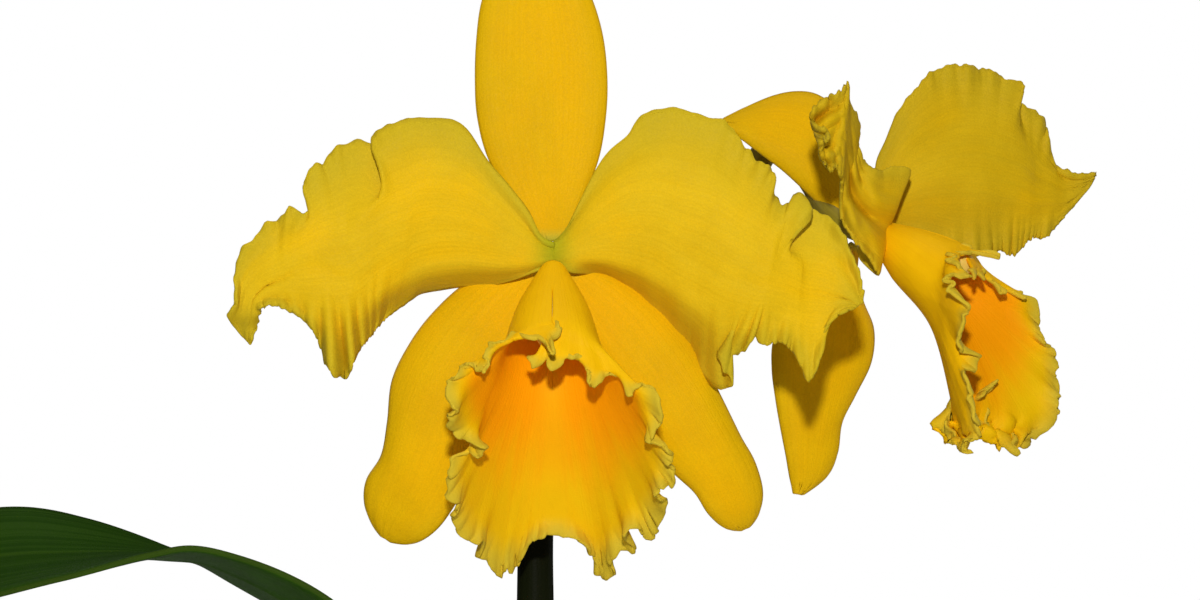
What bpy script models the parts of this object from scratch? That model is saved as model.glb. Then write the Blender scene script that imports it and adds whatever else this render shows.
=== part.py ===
"""Potted orchid: a large-lipped orchid with two flowers on one stem, in a plain clay pot.

Metres, +Z up, +X to the right of the flowers' front, -Y towards whoever looks at them.
The origin is the centre of the pot's underside.
"""

import math

import bmesh
import bpy
from mathutils import Vector

# ---- driving dimensions ----
POT_HEIGHT = 0.120
POT_RIM_RADIUS = 0.066
POT_BASE_RADIUS = 0.046
POT_WALL = 0.006
POT_FLOOR = 0.009
RIM_BAND_HEIGHT = 0.022
RIM_BAND_PROUD = 0.003
DRAIN_HOLES = 4
DRAIN_RADIUS = 0.005
DRAIN_RING_RADIUS = 0.024
BARK_BELOW_RIM = 0.014

RHIZOME_RADIUS = 0.006
ROOT_RADIUS = 0.0018
BULB_RADIUS = 0.0095
BULB_FOOT_RADIUS = 0.004
BULB_TOP_RADIUS = 0.0070
BULB_LIFT = 0.0010
FLOWERING_BULB_HEIGHT = 0.189
BACK_BULB_HEIGHTS = (0.128, 0.146, 0.168)
SHEATH_THICKNESS = 0.0005
SHEATH_CLEARANCE = 0.0009
SHOOT_HEIGHT = 0.046

LEAF_THICKNESS = 0.0018
FLOWERING_LEAF_WIDTH = 0.033
BACK_LEAF_WIDTH = 0.042

PEDUNCLE_RADIUS = 0.0042
SPATHE_LENGTH = 0.062
SPATHE_BULGE = 0.0010
STALK_RADIUS = 0.0021
STALK_LIFT = 0.0008
BRACT_LENGTH = 0.011

FLOWER_HEIGHT = 0.460
FLOWER_SPAN = 0.1375
PETAL_THICKNESS = 0.0010
SEPAL_THICKNESS = 0.0014
LIP_THICKNESS = 0.0009

GAP = 0.0003

# ---- places that follow from them ----
MM = FLOWER_SPAN / 137.5
BARK_TOP = POT_HEIGHT - BARK_BELOW_RIM
RHIZOME_HEIGHT = BARK_TOP + GAP + RHIZOME_RADIUS
BULB_FOOT_HEIGHT = RHIZOME_HEIGHT + RHIZOME_RADIUS + BULB_LIFT
RHIZOME_ROUTE = [(-0.049, 0.020), (-0.030, 0.016), (-0.011, 0.008), (0.008, -0.001), (0.030, -0.008)]
BULB_TOP = Vector((0.0076, -0.002, BULB_FOOT_HEIGHT + FLOWERING_BULB_HEIGHT))
FRONT_FLOWER = Vector((BULB_TOP.x + 4.4 * MM, BULB_TOP.y - 26 * MM, FLOWER_HEIGHT))
SIDE_FLOWER = FRONT_FLOWER + Vector((72.9, 45, 4.1)) * MM
FRONT_LIP_PITCH = math.radians(41)
SIDE_YAW = math.radians(60)
SIDE_PITCH = math.radians(20)


# ---- scene and materials ----
def clear_scene():
    for old in list(bpy.data.objects):
        bpy.data.objects.remove(old)


def new_collection(name, shown=True):
    made = bpy.data.collections.new(name)
    made.hide_render = not shown
    bpy.context.scene.collection.children.link(made)
    return made


def new_material(name, colour, roughness):
    made = bpy.data.materials.new(name)
    made.use_nodes = True
    shader = made.node_tree.nodes["Principled BSDF"]
    shader.inputs["Base Color"].default_value = (*colour, 1)
    shader.inputs["Roughness"].default_value = roughness
    shader.inputs["Metallic"].default_value = 0
    made.diffuse_color = (*colour, 1)
    return made


def add_object(name, data, paint, place=(0, 0, 0)):
    made = bpy.data.objects.new(name, data)
    made.location = place
    data.materials.append(new_material(name, *paint))
    orchid.objects.link(made)
    return made


CLAY = ((0.55, 0.24, 0.12), 0.85)
BARK = ((0.16, 0.08, 0.04), 0.9)
ROOT = ((0.62, 0.64, 0.55), 0.7)
BULB = ((0.20, 0.28, 0.07), 0.45)
PAPER = ((0.62, 0.52, 0.34), 0.8)
LEAF = ((0.03, 0.11, 0.01), 0.4)
STEM = ((0.06, 0.09, 0.02), 0.45)
YELLOW = ((0.80, 0.50, 0.01), 0.55)
LIP_ORANGE = ((0.85, 0.42, 0.01), 0.55)
CREAM = ((0.90, 0.85, 0.55), 0.5)


# ---- curves, sheets and turned shapes ----
def through(points, t):
    """The point at t, from 0 to 1, of the smooth curve through the points."""
    span = t * (len(points) - 1)
    first = min(int(span), len(points) - 2)
    f = span - first
    near = [Vector(points[min(max(k, 0), len(points) - 1)]) for k in range(first - 1, first + 3)]
    a, b, c, d = near
    return 0.5 * (2 * b + (c - a) * f + (2 * a - 5 * b + 4 * c - d) * f**2 + (3 * b - a - 3 * c + d) * f**3)


def value_through(values, t):
    """The same for plain numbers."""
    return through([(value, 0, 0) for value in values], t).x


def tube(name, points, radii, paint, samples):
    """A round stem along a smooth curve, with its own radius all along."""
    data = bpy.data.curves.new(name, "CURVE")
    data.dimensions = "3D"
    data.bevel_depth = 1
    data.bevel_resolution = 2
    data.use_fill_caps = True
    line = data.splines.new("POLY")
    line.points.add(samples - 1)
    for k, point in enumerate(line.points):
        t = k / (samples - 1)
        point.co = (*through(points, t), 1)
        point.radius = value_through(radii, t)
    return add_object(name, data, paint)


def sheet(name, place, thickness, paint, cells, closed=False):
    """A thin piece: a grid whose points go where place(across, along) says, given a thickness."""
    across, along = cells
    mesh = bmesh.new()
    bmesh.ops.create_grid(mesh, x_segments=across, y_segments=along, size=0.5)
    for vert in mesh.verts:
        vert.co = place(vert.co.x + 0.5, vert.co.y + 0.5)
    if closed:
        bmesh.ops.remove_doubles(mesh, verts=mesh.verts, dist=1e-6)
    data = bpy.data.meshes.new(name)
    mesh.to_mesh(data)
    mesh.free()
    data.shade_smooth()
    made = add_object(name, data, paint)
    wall = made.modifiers.new("thickness", "SOLIDIFY")
    wall.thickness = thickness
    wall.offset = 0
    return made


def turned(name, profile, paint, steps, place=(0, 0, 0), aim=(0, 0, 1)):
    """A solid of revolution from (radius, height) points, its axis turned to point along aim."""
    data = bpy.data.meshes.new(name)
    rows = [(radius, 0, height) for radius, height in profile]
    data.from_pydata(rows, [(k, k + 1) for k in range(len(rows) - 1)], [])
    made = add_object(name, data, paint, place)
    made.rotation_mode = "QUATERNION"
    made.rotation_quaternion = Vector((0, 0, 1)).rotation_difference(Vector(aim))
    screw = made.modifiers.new("turn", "SCREW")
    screw.steps = screw.render_steps = steps
    screw.use_merge_vertices = True
    screw.merge_threshold = 1e-5
    return made


def made_mesh(obj):
    """Turns a curve object into a closed mesh object of the same name."""
    bpy.context.view_layer.update()
    seen = obj.evaluated_get(bpy.context.evaluated_depsgraph_get())
    data = bpy.data.meshes.new_from_object(seen)
    work = bmesh.new()
    work.from_mesh(data)
    bmesh.ops.remove_doubles(work, verts=work.verts, dist=1e-6)
    work.to_mesh(data)
    work.free()
    made = bpy.data.objects.new(obj.name, data)
    made.matrix_world = obj.matrix_world.copy()
    bpy.data.objects.remove(obj)
    return made


def cut(body, cutter):
    cutters.objects.link(cutter)
    cutter.display_type = "WIRE"
    cutter.hide_render = True
    knife = body.modifiers.new(cutter.name, "BOOLEAN")
    knife.operation = "DIFFERENCE"
    knife.solver = "EXACT"
    knife.object = cutter


# ---- pot and bark ----
POT_STEPS = 40


def wall_radius(height):
    """The pot's outside radius at a height, without its rim band."""
    return POT_BASE_RADIUS + (POT_RIM_RADIUS - RIM_BAND_PROUD - POT_BASE_RADIUS) * height / POT_HEIGHT


def build_pot():
    band_foot = POT_HEIGHT - RIM_BAND_HEIGHT
    edge = 0.0015
    profile = [
        (0, POT_FLOOR),
        (wall_radius(POT_FLOOR) - POT_WALL, POT_FLOOR),
        (wall_radius(POT_HEIGHT) - POT_WALL, POT_HEIGHT),
        (wall_radius(POT_HEIGHT) + RIM_BAND_PROUD - edge, POT_HEIGHT),
        (wall_radius(POT_HEIGHT) + RIM_BAND_PROUD, POT_HEIGHT - edge),
        (wall_radius(band_foot) + RIM_BAND_PROUD, band_foot + edge),
        (wall_radius(band_foot) + RIM_BAND_PROUD - edge, band_foot),
        (wall_radius(band_foot), band_foot),
        (wall_radius(edge), edge),
        (POT_BASE_RADIUS - edge, 0),
        (0, 0),
    ]
    pot = turned("pot", profile, CLAY, POT_STEPS)
    for k in range(DRAIN_HOLES):
        turn = 2 * math.pi * (k + 0.5) / DRAIN_HOLES
        bore = bmesh.new()
        bmesh.ops.create_cone(
            bore, cap_ends=True, segments=16, radius1=DRAIN_RADIUS, radius2=DRAIN_RADIUS, depth=4 * POT_FLOOR
        )
        data = bpy.data.meshes.new("drain_bore")
        bore.to_mesh(data)
        bore.free()
        hole = bpy.data.objects.new(f"drain_bore_{k + 1}", data)
        hole.location = (DRAIN_RING_RADIUS * math.cos(turn), DRAIN_RING_RADIUS * math.sin(turn), 0)
        cut(pot, hole)


def build_bark(roots):
    foot = POT_FLOOR + GAP
    inside = -POT_WALL - GAP
    profile = [
        (0, BARK_TOP),
        (wall_radius(BARK_TOP) + inside, BARK_TOP),
        (wall_radius(foot) + inside, foot),
        (0, foot),
    ]
    bark = turned("bark_medium", profile, BARK, POT_STEPS)
    for name, points in roots.items():
        beyond = points[-1] + (points[-1] - points[-2]).normalized() * 2 * GAP
        route = points[:-1] + [beyond]
        channel = tube(f"{name}_channel", route, [ROOT_RADIUS + GAP] * 2, BARK, ROOT_SAMPLES)
        cut(bark, made_mesh(channel))


# ---- rhizome, roots and bulbs ----
BULB_STEPS = 12
ROOT_SAMPLES = 11
# where each root leaves the rhizome, as the rhizome's own t, and its heading in degrees
ROOT_STARTS = [(0.14, 292), (0.44, 62), (0.55, 246), (0.80, 52), (0.90, 262)]


def rhizome_point(t):
    x, y = through([(*p, 0) for p in RHIZOME_ROUTE], t).xy
    return Vector((x, y, RHIZOME_HEIGHT))


def diving_root(t, heading):
    """A root's route: out along the bark's top, then down into the bark."""
    way = Vector((math.cos(math.radians(heading)), math.sin(math.radians(heading)), 0))
    top = BARK_TOP + GAP + ROOT_RADIUS
    start = rhizome_point(t) + way * (RHIZOME_RADIUS + ROOT_RADIUS + 2 * GAP)
    steps = [(0, 0), (0.004, 0), (0.0085, -0.0005), (0.0125, -0.006), (0.015, -0.016), (0.016, -0.034)]
    return [Vector((start.x, start.y, top)) + way * out + Vector((0, 0, down)) for out, down in steps]


def rim_root():
    """A root that climbs over the pot's rim at the back left and hangs down outside."""
    way = Vector((-0.62, 0.785, 0)).normalized()
    rim = POT_RIM_RADIUS
    lift = ROOT_RADIUS + 2 * GAP
    route = [
        (rim - 0.040, BARK_TOP + lift),
        (rim - 0.022, BARK_TOP + lift + 0.002),
        (rim - 0.011, POT_HEIGHT + lift - 0.001),
        (rim - 0.003, POT_HEIGHT + lift + 0.001),
        (rim + lift + 0.0015, POT_HEIGHT - 0.002),
        (rim + lift + 0.002, POT_HEIGHT - 0.016),
        (rim + lift + 0.001, POT_HEIGHT - 0.034),
        (rim + lift - 0.001, POT_HEIGHT - 0.052),
    ]
    return [way * out + Vector((0, 0, height)) for out, height in route]


def build_rhizome_and_roots():
    route = [rhizome_point(k / 8) for k in range(9)]
    girth = [0.6, 1, 0.9, 1, 0.88, 1, 0.9, 1, 0.75]
    tube("rhizome", route, [RHIZOME_RADIUS * g for g in girth], BULB, 18)
    roots = {}
    for k, (t, heading) in enumerate(ROOT_STARTS, start=1):
        roots[f"root_{k}"] = diving_root(t, heading)
    for name, route in roots.items():
        tube(name, route, [ROOT_RADIUS, ROOT_RADIUS, ROOT_RADIUS * 0.9], ROOT, ROOT_SAMPLES)
    tube("rim_root", rim_root(), [ROOT_RADIUS, ROOT_RADIUS, ROOT_RADIUS * 0.7], ROOT, 14)
    return roots


def bulb_radius(t):
    """A bulb's radius along its length: a thin foot, full above the middle, a narrower top."""
    shares = [BULB_FOOT_RADIUS, BULB_FOOT_RADIUS * 1.15, BULB_RADIUS * 0.72, BULB_RADIUS, BULB_RADIUS, BULB_TOP_RADIUS]
    return value_through(shares, t)


def build_bulb(name, foot, top):
    length = (top - foot).length
    rows = 9
    profile = [(0, length)]
    profile += [(bulb_radius(k / rows), length * k / rows) for k in range(rows, -1, -1)]
    profile += [(0, 0)]
    turned(name, profile, BULB, BULB_STEPS, foot, top - foot)


def build_bulb_sheath(name, foot, top, cover):
    """The papery sheath round a bulb's lower part, open at the top and longer on one side."""
    axis = top - foot
    turn = Vector((0, 0, 1)).rotation_difference(axis)

    def place(around, along):
        angle = 2 * math.pi * around
        reach = cover * (0.86 + 0.14 * math.cos(angle))
        t = 0.03 + (reach - 0.03) * along
        radius = bulb_radius(t) + SHEATH_CLEARANCE + SHEATH_THICKNESS / 2
        ring = Vector((radius * math.cos(angle), radius * math.sin(angle), 0))
        return foot + axis * t + turn @ ring

    sheet(name, place, SHEATH_THICKNESS, PAPER, (BULB_STEPS, 4), closed=True)


def build_bulbs():
    places = {
        "back_bulb_1": (0.06, Vector((-0.024, 0.020, 0)), BACK_BULB_HEIGHTS[0], 0.62),
        "back_bulb_2": (0.30, Vector((-0.013, 0.029, 0)), BACK_BULB_HEIGHTS[1], 0.50),
        "back_bulb_3": (0.53, Vector((-0.004, 0.023, 0)), BACK_BULB_HEIGHTS[2], 0.66),
    }
    tops = {}
    for name, (t, lean, height, cover) in places.items():
        foot = rhizome_point(t)
        foot.z = BULB_FOOT_HEIGHT
        tops[name] = foot + lean + Vector((0, 0, height))
        build_bulb(name, foot, tops[name])
        build_bulb_sheath(f"{name}_sheath", foot, tops[name], cover)
    foot = rhizome_point(0.76)
    foot.z = BULB_FOOT_HEIGHT
    build_bulb("flowering_bulb", foot, BULB_TOP)
    build_bulb_sheath("flowering_bulb_sheath", foot, BULB_TOP, 0.55)
    tip = rhizome_point(1) + Vector((0.001, -0.001, 0))
    tip.z = BULB_FOOT_HEIGHT
    shape = [(0, 1), (0.08, 0.97), (0.45, 0.7), (0.8, 0.4), (1, 0.18), (0.7, 0.02), (0, 0)]
    profile = [(share * BULB_TOP_RADIUS, height * SHOOT_HEIGHT) for share, height in shape]
    turned("new_shoot", profile, LEAF, 12, tip, (0.25, -0.12, 1))
    return tops


# ---- leaves ----
def build_leaf(name, route, width, rolls, folds, side, cells=(4, 16)):
    """A strap leaf along a route. rolls turn its face about its length, folds set its V."""

    def place(across, along):
        centre = through(route, along)
        step = 0.02
        ahead = through(route, min(along + step, 1)) - through(route, max(along - step, 0))
        tangent = ahead.normalized()
        face = tangent.cross(side).normalized()
        flat = face.cross(tangent)
        roll = value_through(rolls, along)
        out = flat * math.cos(roll) + face * math.sin(roll)
        normal = face * math.cos(roll) - flat * math.sin(roll)
        half = width / 2 * value_through([0.28, 0.62, 0.94, 1, 0.98, 0.86, 0.58, 0.10], along)
        s = 2 * across - 1
        return centre + out * (half * s) + normal * (half * value_through(folds, along) * abs(s))

    sheet(name, place, LEAF_THICKNESS, LEAF, cells)


def build_leaves(tops):
    toward = Vector((0, -1, 0))
    start = BULB_TOP + Vector((-spathe_foot_radius() - LEAF_THICKNESS - SPATHE_BULGE, 0, 2 * GAP))
    steps = [
        (0, 0, 0),
        (-5.5, 0, 21),
        (-19, 1, 47),
        (-41, 2, 67.5),
        (-63, 3, 79.5),
        (-76.5, 4, 83),
        (-96, 5, 82.5),
        (-115.5, 6, 82.5),
        (-143, 8, 77),
        (-167, 10, 67),
        (-185, 12, 54),
    ]
    route = [start + Vector(step) * 0.001 for step in steps]
    rolls = [0.05, 0.12, 0.24, 0.33, 0.16, 0.0, -0.34, -0.62, -0.74, -0.74, -0.7]
    build_leaf("flowering_leaf", route, FLOWERING_LEAF_WIDTH, rolls, [0.25, 0.3, 0.24, 0.18, 0.12], toward, (4, 24))
    shapes = {
        "back_bulb_1": ([(-10, 7, 28), (-28, 20, 58), (-56, 37, 77), (-88, 55, 78), (-116, 71, 62)], (-0.5, -0.8, 0)),
        "back_bulb_2": ([(1, 12, 30), (3, 31, 58), (4, 60, 76), (2, 94, 78), (-3, 126, 62)], (-1, 0, 0)),
        "back_bulb_3": ([(9, 9, 22), (29, 22, 42), (60, 38, 55), (95, 54, 54), (128, 69, 38)], (-0.5, 0.87, 0)),
    }
    for name, (steps, side) in shapes.items():
        first = tops[name] + Vector((0, 0, LEAF_THICKNESS / 2 + GAP))
        route = [first] + [first + Vector(step) * 0.001 for step in steps]
        build_leaf(f"{name}_leaf", route, BACK_LEAF_WIDTH, [0, 0.1, 0], [0.5, 0.28, 0.2, 0.12], Vector(side))


# ---- flower stem ----
def spathe_foot_radius():
    return PEDUNCLE_RADIUS + SHEATH_CLEARANCE + SHEATH_THICKNESS


def in_flower(centre, x, towards, z):
    """A place from a flower's centre, in its own millimetres: right, towards the viewer, up."""
    return centre + Vector((x, -towards, z)) * MM


def build_stem():
    foot = BULB_TOP + Vector((0, 0, GAP))
    node = in_flower(FRONT_FLOWER, -4.4, -26, -48)
    girth = [1, 0.98, 1.02, 0.96, 1, 0.95, 1.2]
    tube("peduncle", [foot.lerp(node, k / 6) for k in range(7)], [PEDUNCLE_RADIUS * g for g in girth], STEM, 10)

    def spathe_place(around, along):
        angle = 2 * math.pi * around
        reach = SPATHE_LENGTH * (0.9 + 0.1 * math.cos(angle))
        snug = spathe_foot_radius() - SHEATH_THICKNESS / 2
        wide = snug + SPATHE_BULGE * math.sin(math.pi * along)
        return foot + Vector((wide * math.cos(angle), snug * math.sin(angle), GAP + reach * along))

    sheet("flower_sheath", spathe_place, SHEATH_THICKNESS, PAPER, (12, 4), closed=True)

    beside = STALK_RADIUS + GAP
    start = node + Vector((-beside, 0, STALK_LIFT))
    bends = [(-7, -25.5, -38), (-5.5, -21.5, -24), (-2, -15, -10), (0, -9.5, -2.2), (0, -5.5, -0.9), (0, 1.0, -0.9)]
    route = [start] + [in_flower(FRONT_FLOWER, *bend) for bend in bends]
    ovary = [STALK_RADIUS, 2.3 * MM, 2.6 * MM, 3.2 * MM, 3.4 * MM, 2.7 * MM, 2.6 * MM]
    tube("front_pedicel", route, ovary, STEM, 17)
    start = node + Vector((beside, 0, STALK_LIFT))
    bends = [(-1.2, -26.5, -43), (4, -29, -35), (15, -38, -26), (31, -52, -13), (41, -63, 0), (45.5, -70, 14), (49.5, -73, 24)]
    bends += [(56, -70, 24.5), (60.5, -62, 17), (64.5, -52.5, 9.5)]
    forward, _, _ = flower_axes(SIDE_YAW, SIDE_PITCH)
    ends = [SIDE_FLOWER - forward * 5 * MM, SIDE_FLOWER + forward * 1.0 * MM]
    route = [start] + [in_flower(FRONT_FLOWER, *bend) for bend in bends] + ends
    girth = [STALK_RADIUS] + [g * MM for g in (2.2, 2.5, 2.8, 2.9, 3.0, 3.2, 3.2, 3.2, 3.2, 3.1, 2.7, 2.6)]
    tube("side_pedicel", route, girth, STEM, 30)
    build_bract("front_bract", node + Vector((-beside, 0, 0)), math.pi)
    build_bract("side_bract", node + Vector((beside, 0, 0)), -math.pi / 2)


def build_bract(name, foot, facing):
    """The small pointed bract on the outer side of a stalk's foot."""

    def place(around, along):
        spread = 1.15 * (1 - 0.8 * along)
        angle = facing + spread * (2 * around - 1)
        radius = STALK_RADIUS + SHEATH_CLEARANCE + SHEATH_THICKNESS / 2 + 0.0022 * along
        ring = Vector((radius * math.cos(angle), radius * math.sin(angle), 0))
        return foot + ring + Vector((0, 0, 3 * GAP + BRACT_LENGTH * along))

    sheet(name, place, SHEATH_THICKNESS, PAPER, (3, 3))


# ---- flowers ----
def flower_axes(yaw, pitch):
    """Forward out of the flower, up and right, for a flower turned to the right and nodding."""
    forward = Vector((math.sin(yaw) * math.cos(pitch), -math.cos(yaw) * math.cos(pitch), -math.sin(pitch)))
    up = Vector((math.sin(yaw) * math.sin(pitch), -math.cos(yaw) * math.sin(pitch), math.cos(pitch)))
    right = Vector((math.cos(yaw), math.sin(yaw), 0))
    return forward, up, right


def build_blade(name, centre, stations, thickness, bulge, cells):
    """A petal or sepal between two margins.

    Each station holds a point of one margin and the point across from it on the other, base to tip.
    """
    one = [in_flower(centre, *row[:3]) for row in stations]
    other = [in_flower(centre, *row[3:]) for row in stations]

    def place(across, along):
        point = through(one, along).lerp(through(other, along), across)
        crown = 4 * across * (1 - across) * math.sin(math.pi * min(1, 1.15 * along + 0.05))
        return point + Vector((0, -bulge * MM * crown, 0))

    sheet(name, place, thickness, YELLOW, cells)


# margins in a flower's own millimetres: right, towards the viewer, up; then the margin across
DORSAL_SEPAL = [
    (-2.9, -3.6, 2.4, 2.6, -3.6, 2.4),
    (-8.5, -3.8, 10, 6.0, -3.8, 10),
    (-14.3, -4, 20, 9.9, -4, 20),
    (-16.8, -4.5, 29, 11.5, -4.5, 29),
    (-17.4, -5, 37.5, 11.9, -5, 37.5),
    (-17.1, -6, 47, 11.0, -6, 47),
    (-15.9, -7, 55.5, 8.6, -7, 55.5),
    (-12.8, -8, 63, 4.8, -8, 63),
    (-8.6, -9, 68.3, 0.4, -9, 68.3),
    (-5.4, -9.4, 70, -2.8, -9.4, 70),
]
LEFT_PETAL = [
    (-3.5, 0, 2.0, -4.2, 0.3, -4.2),
    (-8.5, 0.5, 12.8, -12, 0, -7.0),
    (-15, 1, 20.5, -20.5, -0.8, -8.0),
    (-20.5, 1.5, 27.8, -28.5, -1, -9.4),
    (-30, 2, 29.2, -35.5, 0, -13.5),
    (-38.5, 2.5, 26.3, -40.3, 1, -18.6),
    (-45, 3, 23.6, -43.8, 2, -24.5),
    (-50, 3, 20, -47.5, 3, -27.5),
    (-54.5, 4, 14, -50.6, 4, -22.5),
    (-56.5, 4, 8.6, -53.5, 4, -16),
    (-62.5, 5, 5.6, -57.5, 4, -13.2),
    (-67, 6, 1, -62, 5, -12.8),
    (-69.6, 6, -5, -66.5, 4, -13.6),
]
RIGHT_PETAL = [
    (3.5, 0, 3.0, 4.2, 0.3, -4.2),
    (9.0, 0.5, 16.8, 12.3, 0, -5.9),
    (13.5, 1, 23.0, 17.6, -0.5, -8.6),
    (20, 1.5, 30, 23.3, -0.8, -12.5),
    (27.5, 2, 31, 27.6, -0.5, -17.4),
    (35, 2.5, 29.2, 30.6, 0, -22.5),
    (41.5, 3, 24.5, 33.5, 1, -28.3),
    (45.5, 3, 18.6, 38, 2, -29),
    (49, 3.5, 13.2, 40.5, 3, -23.4),
    (53.5, 4, 11, 46, 4, -20.5),
    (58, 4.5, 8.2, 51, 4, -21.6),
    (63, 5, 4.2, 56, 5, -27.4),
    (66.5, 5, -3, 59.5, 5, -19.5),
    (67.7, 5, -10.5, 63.5, 5, -14.3),
]
LEFT_LATERAL_SEPAL = [
    (-3.4, -4, -3.4, -0.7, -4, -4.5),
    (-12.5, -4.5, -6.8, -3.5, -4.5, -15),
    (-20.5, -5, -9.5, -7.5, -5, -25),
    (-27, -5.5, -14.2, -11.5, -5.5, -34),
    (-32.2, -6, -21.3, -14.5, -6, -41),
    (-35.8, -6.5, -29, -17, -6.5, -47),
    (-36.8, -7, -38, -19.5, -7, -52),
    (-38.2, -7.5, -45.5, -22.3, -7.5, -56.8),
    (-41.6, -8, -51, -25.5, -8, -61.3),
    (-42.2, -8.5, -56, -29, -8.5, -64.2),
    (-40.4, -9, -60.5, -32.5, -9, -65.5),
    (-38.8, -9.4, -62.7, -35.6, -9.4, -65),
]
RIGHT_LATERAL_SEPAL = [
    (3.4, -4, -3.4, 0.7, -4, -4.5),
    (12.8, -4.5, -7.6, 4.2, -4.5, -15),
    (22, -5, -14, 8.5, -5, -24.5),
    (29, -5.5, -20.3, 13.5, -5.5, -32.5),
    (34.5, -6, -27.5, 18, -6, -39),
    (38.3, -6.5, -35, 22.5, -6.5, -45),
    (41.5, -7, -41.5, 27, -7, -49.6),
    (44.6, -7.5, -47, 31.5, -7.5, -53.8),
    (46.4, -8, -53.5, 34.5, -8, -58.5),
    (45.6, -8.6, -58.6, 38.2, -8.6, -61.7),
    (43.8, -9, -61, 41.4, -9, -62.3),
]
SIDE_DORSAL_SEPAL = [
    (-0.9, -3.5, 4.9, -3.5, 0.4, 4.9),
    (-1.5, -7, 14, -8.5, 3, 5.8),
    (-4.5, -11, 23, -12.5, 4.5, 8.5),
    (-9, -14, 31, -16.5, 5, 12.5),
    (-15.7, -16, 34, -20.5, 4, 16),
    (-21.5, -16, 33, -24.5, 1, 19),
    (-28.5, -15, 30, -29, -4, 22.6),
    (-33.3, -12.5, 27.8, -32.6, -9.5, 25.6),
]
SIDE_FAR_PETAL = [
    (2.9, -2.7, 3.3, 0.9, -3.9, -3.3),
    (2.6, -3.5, 16, 8, -5, 4.8),
    (4.8, -4.5, 24.4, 12, -6, 4.4),
    (8.5, -6, 31.5, 15.5, -7, 2.4),
    (13, -7, 37, 19, -8, 0),
    (19, -9, 40, 23.5, -10, -2),
    (26, -11, 40, 28.5, -12, -2.6),
    (33, -13, 37, 33.5, -14, -4.4),
    (37.5, -15, 33.5, 38.5, -16, -2.8),
    (42, -17, 28.5, 42.5, -18, -0.5),
    (44.5, -19, 21, 46.5, -19, 3),
    (48.5, -20, 15.8, 50.5, -20, 7.2),
    (54, -21, 15, 53.5, -21, 11.4),
]
SIDE_NEAR_PETAL = [
    (-1.1, 3.9, 3.3, -2.9, 2.7, -3.3),
    (1.5, 9, 12, -2.0, 7, -6.5),
    (-1.5, 14, 19, -1.2, 11, -9.5),
    (-4.5, 19, 27, -3.5, 15, -8.5),
    (-7.2, 23, 33.5, -6, 19, -4),
    (-12, 26, 29, -8.5, 23, 2),
    (-15.4, 28, 27, -10, 26, 9),
    (-14.5, 29, 18.5, -11.5, 28, 14),
]
SIDE_NEAR_LATERAL_SEPAL = [
    (-6.8, 0.3, -0.8, -4.6, -0.9, -2.6),
    (-12.5, 2, -8, -3.2, -1, -9),
    (-18.5, 3, -16, -1.5, -2, -15.5),
    (-22.3, 3, -24, 1.0, -3, -22),
    (-22.8, 3, -31, 0.4, -3, -29.5),
    (-21.8, 2, -38.5, -3.2, -3, -37),
    (-20.6, 1, -45, -6.4, -3, -43.5),
    (-19.4, 0, -51, -7.4, -3, -50.5),
    (-18.3, -2, -56.5, -9.8, -4, -56),
    (-17.2, -3, -60.2, -13.5, -4, -60),
]
SIDE_FAR_LATERAL_SEPAL = [
    (-4.2, -3.9, -1.8, -2.2, -5.6, -2.8),
    (-9, -12, -6, -3, -14, -12),
    (-14, -20, -11, -6, -22, -21),
    (-18, -27, -17, -9.5, -29, -28),
    (-20.5, -33, -24, -13, -35, -33),
    (-20.6, -37.5, -29.5, -16.5, -38.5, -34.6),
]


# the lip's rings, base to margin, in the lip's own millimetres:
# forward and up of the top, forward and up of the keel, half width, how far the sides stand forward
LIP_RINGS = [
    (0, 3.2, 0, -3.2, 3.2, 0),
    (10, 4.0, 8.5, -9.5, 7.5, 0.5),
    (20, 4.3, 20, -18, 11.5, 3),
    (28.5, 4.3, 32.5, -46.5, 21.5, 7.5),
]


def build_lip(name, foot, axes):
    """The lip: a tube rolled round the column that flares into a broad, waved mouth."""
    forward, up, right = axes

    def ring_point(ring, angle):
        top_f, top_u, keel_f, keel_u, half, stand = ring
        c, s = math.cos(angle), math.sin(angle)
        f = (top_f + keel_f) / 2 + (top_f - keel_f) / 2 * c + stand * s * s
        u = (top_u + keel_u) / 2 + (top_u - keel_u) / 2 * c
        return foot + (forward * f + up * u + right * half * s) * MM

    def place(around, along):
        angle = 2 * math.pi * around
        point = through([ring_point(ring, angle) for ring in LIP_RINGS], along)
        wave = 1.1 * MM * max(0, along - 0.7) / 0.3 * math.sin(7 * angle)
        return point + forward * wave

    sheet(name, place, LIP_THICKNESS, LIP_ORANGE, (30, 8), closed=True)


def build_column(flower, foot, axes):
    """The column lies along the inside of the lip's top seam, with the anther cap on its end."""
    forward, up, _ = axes
    wall = LIP_THICKNESS / 2 + GAP
    stations = [(0.6, 3.2, 2.0), (10, 4.0, 2.6), (21, 4.3, 3.2)]
    route = [foot + forward * f * MM + up * (u * MM - wall - r * MM) for f, u, r in stations]
    tube(f"{flower}_column", route, [r * MM for _, _, r in stations], CREAM, 9)
    ahead = (route[-1] - route[-2]).normalized()
    rise = stations[-1][2] * 0.95
    shape = [(0, 1.15), (0.45, 1.0), (0.8, 0.65), (0.98, 0.25), (0.98, 0), (0, 0)]
    profile = [(rise * out * MM, rise * height * MM) for out, height in shape]
    turned(f"{flower}_anther_cap", profile, CREAM, 12, route[-1] + ahead * GAP, ahead)


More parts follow.
